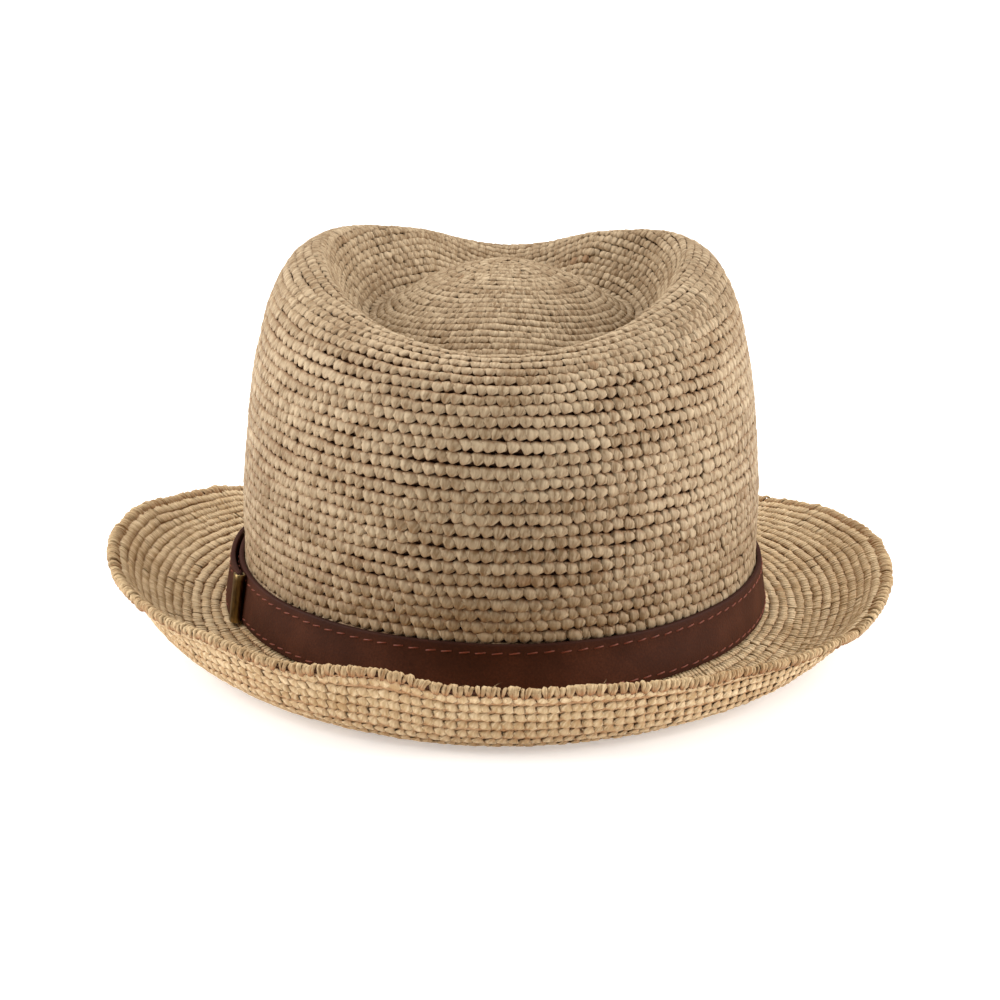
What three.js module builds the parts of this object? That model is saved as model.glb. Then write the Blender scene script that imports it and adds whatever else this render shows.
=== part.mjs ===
// A trilby crocheted from raffia, with a leather strap round the crown and a small brass tip on the
// strap's outer end. Millimetres. +X is the wearer's right, +Y the front, +Z up, and z = 0 is the
// surface that the hat rests on: it touches at the bottom of the turned-up back and at the front edge.
// Azimuths are in degrees from the wearer's right towards the front, so -90 is the back. Both halves of
// the hat are alike, so each table holds azimuths from -90 to 90 only and the left half mirrors them.

import * as THREE from "three";

// The fabric, and the clearance that touching pieces keep.
const FABRIC = 2.2;
const CLEARANCE = 0.3;

// The crown, outside, where it turns into the brim.
const CROWN_WIDTH = 171;
const CROWN_LENGTH = 202;
const BREAK_HEIGHT = 7.8;
const CROWN_HEIGHT = 118;

// The crown's wall from the brim up to the ridge: height is the share of the way up, and reach the share
// of the way out from the ridge to the crown's own size at the brim.
const WALL_PROFILE = [
  { height: 0, reach: 1 },
  { height: 0.15, reach: 0.93 },
  { height: 0.33, reach: 0.94 },
  { height: 0.5, reach: 0.89 },
  { height: 0.645, reach: 0.825 },
  { height: 0.765, reach: 0.72 },
  { height: 0.845, reach: 0.63 },
  { height: 0.915, reach: 0.49 },
  { height: 0.968, reach: 0.31 },
];

// The ridge round the top: reach as a share of the crown's own radius, height as a share of CROWN_HEIGHT.
const RIDGE = [
  { azimuth: -90, reach: 0.7, height: 0.832 },
  { azimuth: -60, reach: 0.68, height: 0.864 },
  { azimuth: -30, reach: 0.68, height: 0.925 },
  { azimuth: 0, reach: 0.7, height: 0.985 },
  { azimuth: 30, reach: 0.7, height: 0.99 },
  { azimuth: 60, reach: 0.66, height: 0.952 },
  { azimuth: 90, reach: 0.725, height: 0.872 },
];

// The teardrop dent inside the ridge: its valley's reach as a share of the ridge's, and its depth below
// the ridge as a share of DENT_DEPTH.
const DENT_DEPTH = 26;
const VALLEY = [
  { azimuth: -90, reach: 0.72, depth: 0.4 },
  { azimuth: -45, reach: 0.72, depth: 0.64 },
  { azimuth: 0, reach: 0.73, depth: 0.9 },
  { azimuth: 45, reach: 0.7, depth: 0.74 },
  { azimuth: 90, reach: 0.7, depth: 0.34 },
];

// The slope from the ridge down into the valley: inward and down are shares of the way.
const DENT_SLOPE = [
  { inward: 0.28, down: 0.2 },
  { inward: 0.6, down: 0.66 },
  { inward: 0.85, down: 0.94 },
];

// The mound in the middle of the dent: its top, and its outline from the valley to the top.
const MOUND_HEIGHT = 111.5;
const MOUND_FORWARD = 8;
const MOUND_PROFILE = [
  { reach: 0.86, rise: 0.2 },
  { reach: 0.62, rise: 0.58 },
  { reach: 0.34, rise: 0.86 },
  { reach: 0.12, rise: 0.98 },
];

// The two pinches at the front of the crown, one on each side.
const PINCH_DEPTH = 6;
const PINCH = { azimuth: 56, spread: 17, height: 0.82, rise: 0.26 };

// The brim at its edge, and its height above the resting surface at four shares of its reach, as shares
// of BRIM_CURL, the height of its turned-up back edge.
const BRIM_WIDTH = 257;
const BRIM_LENGTH = 278;
const BRIM_CURL = 24;
const BRIM_STATIONS = [0.2, 0.45, 0.75, 1];
const BRIM_HEIGHTS = [
  { azimuth: -90, heights: [0.2, 0.083, 0.27, 1] },
  { azimuth: -60, heights: [0.22, 0.15, 0.36, 1.01] },
  { azimuth: -30, heights: [0.29, 0.258, 0.525, 0.98] },
  { azimuth: 0, heights: [0.36, 0.475, 0.742, 1.025] },
  { azimuth: 30, heights: [0.355, 0.45, 0.658, 0.85] },
  { azimuth: 60, heights: [0.3, 0.308, 0.35, 0.43] },
  { azimuth: 90, heights: [0.25, 0.19, 0.108, 0.046] },
];

// The brim hangs a little lower on one side: how far its edge drops below the heights above, in every
// direction round the hat, as shares of BRIM_SAG.
const BRIM_SAG = 3.4;
const BRIM_DROP = [
  { azimuth: -90, share: 0.65 },
  { azimuth: -60, share: 0.95 },
  { azimuth: -30, share: 1.45 },
  { azimuth: 0, share: 0.78 },
  { azimuth: 45, share: -0.05 },
  { azimuth: 90, share: 0 },
  { azimuth: 135, share: -0.2 },
  { azimuth: 180, share: -0.66 },
  { azimuth: 225, share: -0.3 },
  { azimuth: 270, share: 0.65 },
];

// The edge row: a raffia core wrapped all round, past the brim's last row.
const EDGE_DIAMETER = 3;

// The strap: one strip of leather. It starts underneath at the wearer's left, runs round the back, the
// right and the front, and its outer end lies over its start.
const STRAP_HEIGHT = 16;
const STRAP_THICKNESS = 1.6;
const STRAP_ABOVE_BREAK = 0.8;
const STRAP_START = 172;
const STRAP_OVERLAP = 31;
const STRAP_RISE_SPREAD = 26;

// The brass tip: a strip folded round the strap's outer end, seen edge on from behind.
const TIP_METAL = 0.6;
const TIP_LEATHER_INSIDE = 3;

// How finely the pieces are drawn.
const COLUMNS = 56;
const STRAP_COLUMNS = 84;
const EDGE_SIDES = 6;
const WALL_ROWS = 12;
const SLOPE_ROWS = 6;
const MOUND_ROWS = 9;
const BRIM_ROWS = 11;

const RAD = Math.PI / 180;

// A smooth curve through the values of one named column, at the shares given by another.
function along(table, key, at, value) {
  const last = table.length - 1;
  let i = 0;
  while (i < last - 1 && at > table[i + 1][key]) i += 1;
  const a = table[i];
  const b = table[i + 1];
  const t = Math.min(Math.max((at - a[key]) / (b[key] - a[key]), 0), 1);
  const slope = (j) => {
    if (j === 0 || j === last) return 0;
    return (value(table[j + 1]) - value(table[j - 1])) / (table[j + 1][key] - table[j - 1][key]);
  };
  const width = b[key] - a[key];
  const start = slope(i) * width;
  const end = slope(i + 1) * width;
  const rise = value(b) - value(a);
  return value(a) + t * start + t * t * (3 * rise - 2 * start - end) + t * t * t * (start + end - 2 * rise);
}

// The azimuth folded onto the right half, from -90 at the back to 90 at the front.
function folded(azimuth) {
  return Math.atan2(Math.sin(azimuth * RAD), Math.abs(Math.cos(azimuth * RAD))) / RAD;
}

// The radius of an oval of the given width and length in the direction of an azimuth.
function ovalRadius(width, length, azimuth) {
  const across = (2 * Math.cos(azimuth * RAD)) / width;
  const forward = (2 * Math.sin(azimuth * RAD)) / length;
  return 1 / Math.hypot(across, forward);
}

function crownRadius(azimuth) {
  return ovalRadius(CROWN_WIDTH, CROWN_LENGTH, azimuth);
}

// The ridge's radius and height above the resting surface.
function ridgeAt(azimuth) {
  const side = folded(azimuth);
  return {
    radius: crownRadius(azimuth) * along(RIDGE, "azimuth", side, (row) => row.reach),
    height: BREAK_HEIGHT + CROWN_HEIGHT * along(RIDGE, "azimuth", side, (row) => row.height),
  };
}

// How far the front pinch draws the wall in, at a share of the way up.
function pinchAt(azimuth, share) {
  const round = (Math.abs(folded(azimuth) - PINCH.azimuth)) / PINCH.spread;
  const up = (share - PINCH.height) / PINCH.rise;
  return PINCH_DEPTH * Math.exp(-round * round - up * up);
}

// The wall's radius at a height above the resting surface.
function wallRadius(azimuth, height) {
  const ridge = ridgeAt(azimuth);
  const share = Math.max((height - BREAK_HEIGHT) / (ridge.height - BREAK_HEIGHT), 0);
  const reach = along(WALL_PROFILE, "height", share, (row) => row.reach);
  return ridge.radius + (crownRadius(azimuth) - ridge.radius) * reach - pinchAt(azimuth, share);
}

// The crown's outside along one azimuth, from the brim over the ridge to the middle of the mound, as
// points whose x is the radius and y the height.
function crownOutline(azimuth) {
  const ridge = ridgeAt(azimuth);
  const side = folded(azimuth);
  const valleyRadius = ridge.radius * along(VALLEY, "azimuth", side, (row) => row.reach);
  const valleyHeight = ridge.height - DENT_DEPTH * along(VALLEY, "azimuth", side, (row) => row.depth);
  const top = BREAK_HEIGHT + MOUND_HEIGHT;
  const wall = WALL_PROFILE.map((row) => {
    const height = BREAK_HEIGHT + (ridge.height - BREAK_HEIGHT) * row.height;
    return new THREE.Vector2(wallRadius(azimuth, height), height);
  });
  const crest = ridge.radius - pinchAt(azimuth, 1);
  const valley = new THREE.Vector2(valleyRadius, valleyHeight);
  const slope = DENT_SLOPE.map(
    (row) =>
      new THREE.Vector2(
        crest + (valleyRadius - crest) * row.inward,
        ridge.height + (valleyHeight - ridge.height) * row.down,
      ),
  );
  const mound = MOUND_PROFILE.map(
    (row) => new THREE.Vector2(valleyRadius * row.reach, valleyHeight + (top - valleyHeight) * row.rise),
  );
  return {
    wall: new THREE.SplineCurve([...wall, new THREE.Vector2(crest, ridge.height)]),
    slope: new THREE.SplineCurve([new THREE.Vector2(crest, ridge.height), ...slope, valley]),
    mound: new THREE.SplineCurve([valley, ...mound, new THREE.Vector2(0, top)]),
    crest,
  };
}

// The brim's upper face along one azimuth, at shares of its reach.
function brimPoint(azimuth, share) {
  const side = folded(azimuth);
  const inner = crownRadius(azimuth);
  const outer = ovalRadius(BRIM_WIDTH, BRIM_LENGTH, azimuth) - EDGE_DIAMETER;
  const stations = [{ share: 0, height: BREAK_HEIGHT }];
  BRIM_STATIONS.forEach((station, i) => {
    const height = BRIM_CURL * along(BRIM_HEIGHTS, "azimuth", side, (row) => row.heights[i]);
    stations.push({ share: station, height });
  });
  const sag = BRIM_SAG * along(BRIM_DROP, "azimuth", azimuth, (row) => row.share) * share ** 3;
  const height = along(stations, "share", share, (row) => row.height) - sag;
  return new THREE.Vector2(inner + (outer - inner) * share, height);
}

// A closed surface through rings of points. A ring of one point is a pole; a run of rings that doesn't
// close on itself gets a flat cap at an end that isn't a pole.
function skin(rings, closes) {
  const points = [];
  const starts = rings.map((ring) => {
    const start = points.length;
    points.push(...ring);
    return start;
  });
  const faces = [];
  const bands = closes ? rings.length : rings.length - 1;
  for (let k = 0; k < bands; k += 1) {
    const next = (k + 1) % rings.length;
    const around = Math.max(rings[k].length, rings[next].length);
    for (let j = 0; j < around; j += 1) {
      const turn = (j + 1) % around;
      const a = starts[k] + (rings[k].length > 1 ? j : 0);
      const b = starts[k] + (rings[k].length > 1 ? turn : 0);
      const c = starts[next] + (rings[next].length > 1 ? turn : 0);
      const d = starts[next] + (rings[next].length > 1 ? j : 0);
      if (a !== b) faces.push([a, b, c]);
      if (c !== d) faces.push([a, c, d]);
    }
  }
  if (!closes) {
    const last = rings.length - 1;
    for (let j = 1; j < rings[0].length - 1; j += 1) faces.push([starts[0], starts[0] + j + 1, starts[0] + j]);
    for (let j = 1; j < rings[last].length - 1; j += 1) {
      faces.push([starts[last], starts[last] + j, starts[last] + j + 1]);
    }
  }
  let volume = 0;
  faces.forEach(([a, b, c]) => {
    volume += points[a].dot(new THREE.Vector3().crossVectors(points[b], points[c]));
  });
  const outward = volume > 0 ? faces : faces.map(([a, b, c]) => [a, c, b]);
  const geometry = new THREE.BufferGeometry();
  geometry.setAttribute("position", new THREE.Float32BufferAttribute(points.flatMap((p) => p.toArray()), 3));
  geometry.setIndex(outward.flat());
  geometry.computeVertexNormals();
  return geometry;
}

// A point at a radius and a height in the direction of an azimuth.
function polar(azimuth, radius, height) {
  return new THREE.Vector3(radius * Math.cos(azimuth * RAD), radius * Math.sin(azimuth * RAD), height);
}

function azimuthOf(column) {
  return -90 + (360 * column) / COLUMNS;
}

// The same rows moved by the thickness of the fabric, square to the surface on its other face. side is
// +1 or -1, for whichever way the other face lies.
function otherFace(rows, side) {
  return rows.map((ring, k) =>
    ring.map((point, j) => {
      const before = rows[Math.max(k - 1, 0)];
      const after = rows[Math.min(k + 1, rows.length - 1)];
      const down = after[after.length > 1 ? j : 0].clone().sub(before[before.length > 1 ? j : 0]);
      if (ring.length === 1) return point.clone().setZ(point.z - FABRIC);
      const round = ring[(j + 1) % ring.length].clone().sub(ring[(j + ring.length - 1) % ring.length]);
      const normal = new THREE.Vector3().crossVectors(round, down).normalize();
      return point.clone().addScaledVector(normal, side * FABRIC);
    }),
  );
}

// The crown: one hollow piece, open below.
function makeCrown() {
  const outlines = Array.from({ length: COLUMNS }, (unused, j) => crownOutline(azimuthOf(j)));
  const rows = [];
  for (let k = 0; k <= WALL_ROWS; k += 1) {
    rows.push(
      outlines.map(({ wall }, j) => {
        const p = wall.getPointAt(k / WALL_ROWS);
        return polar(azimuthOf(j), p.x, p.y);
      }),
    );
  }
  const inDent = (part, share) =>
    outlines.map((outline, j) => {
      const p = outline[part].getPointAt(share);
      const point = polar(azimuthOf(j), p.x, p.y);
      point.y += MOUND_FORWARD * (1 - Math.min(p.x / outline.crest, 1)) ** 2;
      return point;
    });
  for (let k = 1; k <= SLOPE_ROWS; k += 1) rows.push(inDent("slope", k / SLOPE_ROWS));
  for (let k = 1; k < MOUND_ROWS; k += 1) rows.push(inDent("mound", k / MOUND_ROWS));
  rows.push([new THREE.Vector3(0, MOUND_FORWARD, BREAK_HEIGHT + MOUND_HEIGHT)]);
  const inside = otherFace(rows, -1);
  inside[0].forEach((point) => point.setZ(BREAK_HEIGHT));
  return skin([...rows.reverse(), ...inside], false);
}

// The brim: a ring that starts under the crown's wall and ends inside the edge row. Its underside is
// pressed flat where it rests.
function makeBrim() {
  const rows = [];
  const azimuths = Array.from({ length: COLUMNS }, (unused, j) => azimuthOf(j));
  const start = BREAK_HEIGHT - CLEARANCE;
  rows.push(azimuths.map((azimuth) => polar(azimuth, crownRadius(azimuth) - FABRIC, start)));
  for (let k = 0; k <= BRIM_ROWS; k += 1) {
    rows.push(
      azimuths.map((azimuth) => {
        const p = brimPoint(azimuth, k / BRIM_ROWS);
        return polar(azimuth, p.x, Math.min(p.y, k === 0 ? start : Infinity));
      }),
    );
  }
  const under = otherFace(rows, 1);
  under.forEach((ring) => ring.forEach((point) => point.setZ(Math.max(point.z, 0))));
  return skin([...rows, ...under.reverse()], true);
}

// The edge row: a round cord laid against the brim's last row.
function makeEdge() {
  const radius = EDGE_DIAMETER / 2;
  const rings = Array.from({ length: COLUMNS }, (unused, j) => {
    const azimuth = azimuthOf(j);
    const last = brimPoint(azimuth, 1);
    const before = brimPoint(azimuth, 1 - 1 / BRIM_ROWS);
    const out = last.clone().sub(before).normalize();
    const middle = last.clone().addScaledVector(out, radius + CLEARANCE);
    middle.add(new THREE.Vector2(out.y, -out.x).multiplyScalar(FABRIC / 2));
    return Array.from({ length: EDGE_SIDES }, (ignored, i) => {
      const angle = (2 * Math.PI * i) / EDGE_SIDES;
      const height = Math.max(middle.y + radius * Math.sin(angle), 0);
      return polar(azimuth, middle.x + radius * Math.cos(angle), height);
    });
  });
  return skin(rings, true);
}

// How far the strap's inner face stands off the crown, at a turn along its length in degrees.
const STRAP_TURN = 360 + STRAP_OVERLAP;
const STRAP_LIFT = STRAP_THICKNESS + TIP_METAL + 2 * CLEARANCE;
function strapOffset(turn) {
  const rise = THREE.MathUtils.smoothstep(turn, 360 - STRAP_RISE_SPREAD, 360);
  return CLEARANCE + STRAP_LIFT * rise;
}

// The strap's foot and head on its inner face, at a turn along its length.
function strapFace(turn, extra) {
  const azimuth = STRAP_START + turn;
  const low = BREAK_HEIGHT + STRAP_ABOVE_BREAK;
  const high = low + STRAP_HEIGHT;
  const at = (height) => polar(azimuth, wallRadius(azimuth, height) + strapOffset(turn) + extra, height);
  return [at(low), at((low + high) / 2), at(high)];
}

function makeStrap() {
  const rings = Array.from({ length: STRAP_COLUMNS + 1 }, (unused, k) => {
    const turn = (STRAP_TURN * k) / STRAP_COLUMNS;
    return [...strapFace(turn, 0), ...strapFace(turn, STRAP_THICKNESS).reverse()];
  });
  return skin(rings, false);
}

// The tip: a U of sheet brass, its round back past the strap's end, as tall as the strap.
function makeTip() {
  const outside = STRAP_THICKNESS / 2 + CLEARANCE + TIP_METAL;
  const inside = outside - TIP_METAL;
  const shape = new THREE.Shape();
  shape.moveTo(-TIP_LEATHER_INSIDE, -outside);
  shape.lineTo(0, -outside);
  shape.absarc(0, 0, outside, -Math.PI / 2, Math.PI / 2, false);
  shape.lineTo(-TIP_LEATHER_INSIDE, outside);
  shape.lineTo(-TIP_LEATHER_INSIDE, inside);
  shape.lineTo(0, inside);
  shape.absarc(0, 0, inside, Math.PI / 2, -Math.PI / 2, true);
  shape.lineTo(-TIP_LEATHER_INSIDE, -inside);
  shape.closePath();
  return new THREE.ExtrudeGeometry(shape, { depth: STRAP_HEIGHT, bevelEnabled: false, curveSegments: 10 });
}

// Where the tip stands: its own x along the strap, its own z up the strap's leaning face.
function placeTip(mesh) {
  const end = strapFace(STRAP_TURN, STRAP_THICKNESS / 2);
  const before = strapFace(STRAP_TURN - 2, STRAP_THICKNESS / 2);
  const up = end[2].clone().sub(end[0]).normalize();
  const ahead = end[0].clone().sub(before[0]).normalize();
  const across = new THREE.Vector3().crossVectors(up, ahead).normalize();
  ahead.crossVectors(across, up);
  mesh.quaternion.setFromRotationMatrix(new THREE.Matrix4().makeBasis(ahead, across, up));
  mesh.position.copy(end[0]);
  return mesh;
}

function piece(name, geometry, color, roughness, metalness) {
  const mesh = new THREE.Mesh(geometry, new THREE.MeshStandardMaterial({ color, roughness, metalness }));
  mesh.name = name;
  return mesh;
}

const RAFFIA = 0xb9966a;
const LEATHER = 0x54291c;
const BRASS = 0x5c4a28;

const group = new THREE.Group();
group.add(
  piece("crown", makeCrown(), RAFFIA, 0.75, 0),
  piece("brim", makeBrim(), RAFFIA, 0.75, 0),
  piece("brim_edge", makeEdge(), RAFFIA, 0.75, 0),
  piece("hat_band", makeStrap(), LEATHER, 0.55, 0),
  placeTip(piece("band_tip", makeTip(), BRASS, 0.4, 1)),
);

export default group;
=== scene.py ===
# %% [markdown]
# # A trilby crocheted from raffia
#
# This lesson dresses a plain solid model of a hat. The solids give the place and the size of the crown,
# the brim, the wrapped edge, the leather strap and its brass tip. Blender adds what makes the hat look
# made by hand: some ten thousand crochet stitches, saddle stitching, grain and patina.
# Every length is in metres. +X is the wearer's right, +Y the front of the hat, and it rests on z = 0.

# %% Load the solids
import bpy
import math
import numpy as np
from mathutils import Matrix, Vector


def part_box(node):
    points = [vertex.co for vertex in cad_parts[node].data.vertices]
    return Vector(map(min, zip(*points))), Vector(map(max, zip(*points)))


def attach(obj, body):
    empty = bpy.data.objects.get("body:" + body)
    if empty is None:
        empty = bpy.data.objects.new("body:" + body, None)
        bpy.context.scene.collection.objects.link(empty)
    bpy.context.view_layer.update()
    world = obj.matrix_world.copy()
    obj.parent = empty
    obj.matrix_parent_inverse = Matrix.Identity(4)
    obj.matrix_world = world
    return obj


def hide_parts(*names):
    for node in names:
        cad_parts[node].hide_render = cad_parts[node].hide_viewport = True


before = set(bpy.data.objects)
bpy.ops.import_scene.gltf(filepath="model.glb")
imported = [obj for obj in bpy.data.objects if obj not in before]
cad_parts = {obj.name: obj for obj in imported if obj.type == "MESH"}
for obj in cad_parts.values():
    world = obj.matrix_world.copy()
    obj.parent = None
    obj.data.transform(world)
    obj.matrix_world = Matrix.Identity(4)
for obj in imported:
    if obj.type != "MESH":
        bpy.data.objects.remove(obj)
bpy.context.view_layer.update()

# %% [markdown]
# The camera comes first, because every later choice is judged through it. The photograph looks at the
# back of the hat from a little above, with a long lens from about a metre away. A camera could be aimed
# with a constraint, but a constraint is one more thing to go wrong when the scene is copied, so its
# matrix is worked out here from an elevation, a small turn and a small roll.

# %% Camera
MM = 0.001
CAMERA_ELEVATION = math.radians(16.2)
CAMERA_TURN = math.radians(1.5)
CAMERA_ROLL = math.radians(0.63)
CAMERA_DISTANCE = 1.0555
CAMERA_TARGET = Vector((-0.4 * MM, 0, 40.6 * MM))
FRAME_PIXELS = 1000
PIXELS_PER_METRE = 3047.9
SENSOR = 36.0


def aim_camera():
    """A camera behind the hat, looking at CAMERA_TARGET."""
    back = Vector((
        math.sin(CAMERA_TURN) * math.cos(CAMERA_ELEVATION),
        -math.cos(CAMERA_TURN) * math.cos(CAMERA_ELEVATION),
        math.sin(CAMERA_ELEVATION),
    ))
    right = Vector((0, 0, 1)).cross(back).normalized()
    up = back.cross(right)
    rolled_right = right * math.cos(CAMERA_ROLL) + up * math.sin(CAMERA_ROLL)
    rolled_up = up * math.cos(CAMERA_ROLL) - right * math.sin(CAMERA_ROLL)
    turn = Matrix((rolled_right, rolled_up, back)).transposed().to_4x4()
    data = bpy.data.cameras.new("view_from_behind")
    data.sensor_width = SENSOR
    data.lens = SENSOR * PIXELS_PER_METRE * CAMERA_DISTANCE / FRAME_PIXELS
    data.clip_start = 0.05
    camera = bpy.data.objects.new("view_from_behind", data)
    camera.matrix_world = Matrix.Translation(CAMERA_TARGET + back * CAMERA_DISTANCE) @ turn
    bpy.context.scene.collection.objects.link(camera)
    bpy.context.scene.camera = camera
    return camera


camera = aim_camera()
print("lens", round(camera.data.lens, 1), "mm")

# %% [markdown]
# The stitches lie on the hat's own surface, so that surface is needed as a formula. It could be read
# back from the solid's mesh, but a mesh has corners where a formula is smooth. So the outline of the
# crown and the brim is worked out again from the same short tables as the solids, in every direction
# round the hat. Azimuth -90 is the back, 0 the wearer's right and 90 the front, and the left half
# mirrors the right one.

# %% Sizes taken from the solids
crown_low, crown_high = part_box("crown")
strap_low, strap_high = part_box("hat_band")
CROWN_WIDTH = crown_high.x - crown_low.x
CROWN_LENGTH = crown_high.y - crown_low.y
BREAK_HEIGHT = crown_low.z
STRAP_BOTTOM = strap_low.z
STRAP_TOP = strap_high.z
BRIM_WIDTH = 257 * MM
BRIM_LENGTH = 278 * MM
FABRIC = 2.2 * MM
print("crown", round(CROWN_WIDTH / MM), "x", round(CROWN_LENGTH / MM), "mm,",
      "break at", round(BREAK_HEIGHT / MM, 1))

# %% Tables of the outline
CROWN_HEIGHT = 118 * MM
DENT_DEPTH = 26 * MM
MOUND_HEIGHT = 111.5 * MM
MOUND_FORWARD = 8 * MM
EDGE_DIAMETER = 3 * MM
AZIMUTHS = np.array([-90, -60, -30, 0, 30, 60, 90])
RIDGE_REACH = np.array([0.70, 0.68, 0.68, 0.70, 0.70, 0.66, 0.725])
RIDGE_HEIGHT = np.array([0.832, 0.864, 0.925, 0.985, 0.99, 0.952, 0.872])
VALLEY_AZIMUTHS = np.array([-90, -45, 0, 45, 90])
VALLEY_REACH = np.array([0.72, 0.72, 0.73, 0.70, 0.70])
VALLEY_DEPTH = np.array([0.40, 0.64, 0.90, 0.74, 0.34])
WALL_HEIGHT = np.array([0, 0.15, 0.33, 0.5, 0.645, 0.765, 0.845, 0.915, 0.968])
WALL_REACH = np.array([1, 0.93, 0.94, 0.89, 0.825, 0.72, 0.63, 0.49, 0.31])
SLOPE_INWARD = np.array([0.28, 0.6, 0.85])
SLOPE_DOWN = np.array([0.2, 0.66, 0.94])
MOUND_REACH = np.array([0.86, 0.62, 0.34, 0.12])
MOUND_RISE = np.array([0.2, 0.58, 0.86, 0.98])
PINCH_DEPTH = 6 * MM
PINCH_AZIMUTH, PINCH_SPREAD, PINCH_HEIGHT, PINCH_RISE = 56, 17, 0.82, 0.26
BRIM_SHARES = np.array([0, 0.2, 0.45, 0.75, 1])
BRIM_CURL = 24 * MM
BRIM_HEIGHTS = np.array([
    [0.2, 0.083, 0.27, 1],
    [0.22, 0.15, 0.36, 1.01],
    [0.29, 0.258, 0.525, 0.98],
    [0.36, 0.475, 0.742, 1.025],
    [0.355, 0.45, 0.658, 0.85],
    [0.3, 0.308, 0.35, 0.43],
    [0.25, 0.19, 0.108, 0.046],
]) * BRIM_CURL
BRIM_SAG = 3.4 * MM
DROP_AZIMUTHS = np.array([-90, -60, -30, 0, 45, 90, 135, 180, 225, 270])
DROP_SHARES = np.array([0.65, 0.95, 1.45, 0.78, -0.05, 0, -0.2, -0.66, -0.3, 0.65])


# %% A smooth curve through a table
def through(xs, ys, x):
    """Cubic curve through the points of a table; its slope is level at both ends."""
    xs, ys = np.asarray(xs, float), np.asarray(ys, float)
    x = np.clip(np.asarray(x, float), xs[0], xs[-1])
    slope = np.zeros_like(ys)
    slope[..., 1:-1] = (ys[..., 2:] - ys[..., :-2]) / (xs[2:] - xs[:-2])
    i = np.clip(np.searchsorted(xs, x, side="right") - 1, 0, len(xs) - 2)
    width = xs[i + 1] - xs[i]
    t = (x - xs[i]) / width
    start, end = slope[..., i] * width, slope[..., i + 1] * width
    rise = ys[..., i + 1] - ys[..., i]
    return ys[..., i] + t * start + t**2 * (3 * rise - 2 * start - end) + t**3 * (start + end - 2 * rise)


def oval(width, length, azimuth):
    """Radius of an oval in the direction of an azimuth."""
    a = np.radians(azimuth)
    return 1 / np.hypot(2 * np.cos(a) / width, 2 * np.sin(a) / length)


# %% Outline of the crown in every direction
DIRECTIONS = 720
azimuth = np.arange(DIRECTIONS) * 360 / DIRECTIONS - 90


def folded(turn):
    """The azimuth mirrored onto the right half, from -90 at the back to 90 at the front."""
    return np.degrees(np.arctan2(np.sin(np.radians(turn)), np.abs(np.cos(np.radians(turn)))))


def pinch(turn, share):
    """How far the two front pinches draw the wall in, at a share of the way up."""
    sideways = (folded(turn) - PINCH_AZIMUTH) / PINCH_SPREAD
    return PINCH_DEPTH * np.exp(-(sideways**2) - ((share - PINCH_HEIGHT) / PINCH_RISE) ** 2)


def ridge(turn):
    """Radius of the crown where it meets the brim, and radius and height of the ridge."""
    base = oval(CROWN_WIDTH, CROWN_LENGTH, turn)
    radius = base * through(AZIMUTHS, RIDGE_REACH, folded(turn))
    return base, radius, BREAK_HEIGHT + CROWN_HEIGHT * through(AZIMUTHS, RIDGE_HEIGHT, folded(turn))


def wall_radius(turn, height):
    """Radius of the crown's wall at a height above the surface that the hat rests on."""
    base, radius, top = ridge(turn)
    share = np.maximum((height - BREAK_HEIGHT) / (top - BREAK_HEIGHT), 0)
    return radius + (base - radius) * through(WALL_HEIGHT, WALL_REACH, share) - pinch(turn, share)


side = folded(azimuth)
base_radius, ridge_radius, ridge_height = ridge(azimuth)


def crown_controls():
    """Radius and height of the control points, from the middle of the mound over the ridge and down."""
    crest = ridge_radius - pinch(azimuth, 1)
    valley_r = ridge_radius * through(VALLEY_AZIMUTHS, VALLEY_REACH, side)
    valley_z = ridge_height - DENT_DEPTH * through(VALLEY_AZIMUTHS, VALLEY_DEPTH, side)
    top = BREAK_HEIGHT + MOUND_HEIGHT
    points = [(0 * crest, top + 0 * crest)]
    for reach, rise in zip(MOUND_REACH[::-1], MOUND_RISE[::-1]):
        points.append((valley_r * reach, valley_z + (top - valley_z) * rise))
    points.append((valley_r, valley_z))
    for inward, down in zip(SLOPE_INWARD[::-1], SLOPE_DOWN[::-1]):
        height = ridge_height + (valley_z - ridge_height) * down
        points.append((crest + (valley_r - crest) * inward, height))
    points.append((crest, ridge_height))
    for share in WALL_HEIGHT[::-1]:
        height = BREAK_HEIGHT + (ridge_height - BREAK_HEIGHT) * share
        points.append((wall_radius(azimuth, height), height))
    return np.array(points).transpose(2, 0, 1), crest


crown_points, crest_radius = crown_controls()
print("crown outline:", crown_points.shape[1], "control points in each of", DIRECTIONS, "directions")


# %% One outline from the middle of the mound to the brim's edge
CROWN_ROWS = 64
BRIM_ROWS = 14
ROW_SHARES = [0, 0.45, 0.62, 1]
ROW_PITCHES = [0.70, 0.72, 1.0, 1.0]
LAST_ROW_PITCH = 1.5
BREAK_ROUND = 6
STEPS = 10


def flowing(points, steps):
    """Curve through every control point, with the same number of steps between each two."""
    before = np.concatenate([points[:, :1], points[:, :-2]], axis=1)
    after = np.concatenate([points[:, 2:], points[:, -1:]], axis=1)
    here, there = points[:, :-1], points[:, 1:]
    leave, arrive = (there - before) / 2, (after - here) / 2
    pieces = []
    for t in np.arange(steps) / steps:
        curve = (2 * here - 2 * there + leave + arrive) * t**3
        curve = curve + (3 * there - 3 * here - 2 * leave - arrive) * t**2 + leave * t + here
        pieces.append(curve)
    line = np.stack(pieces, axis=2).reshape(points.shape[0], -1, points.shape[2])
    return np.concatenate([line, points[:, -1:]], axis=1)


def around(radius, height, forward):
    """Points in space from radii and heights in every direction."""
    a = np.radians(azimuth)[:, None]
    return np.stack([radius * np.cos(a), radius * np.sin(a) + forward, height], axis=-1)


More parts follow.
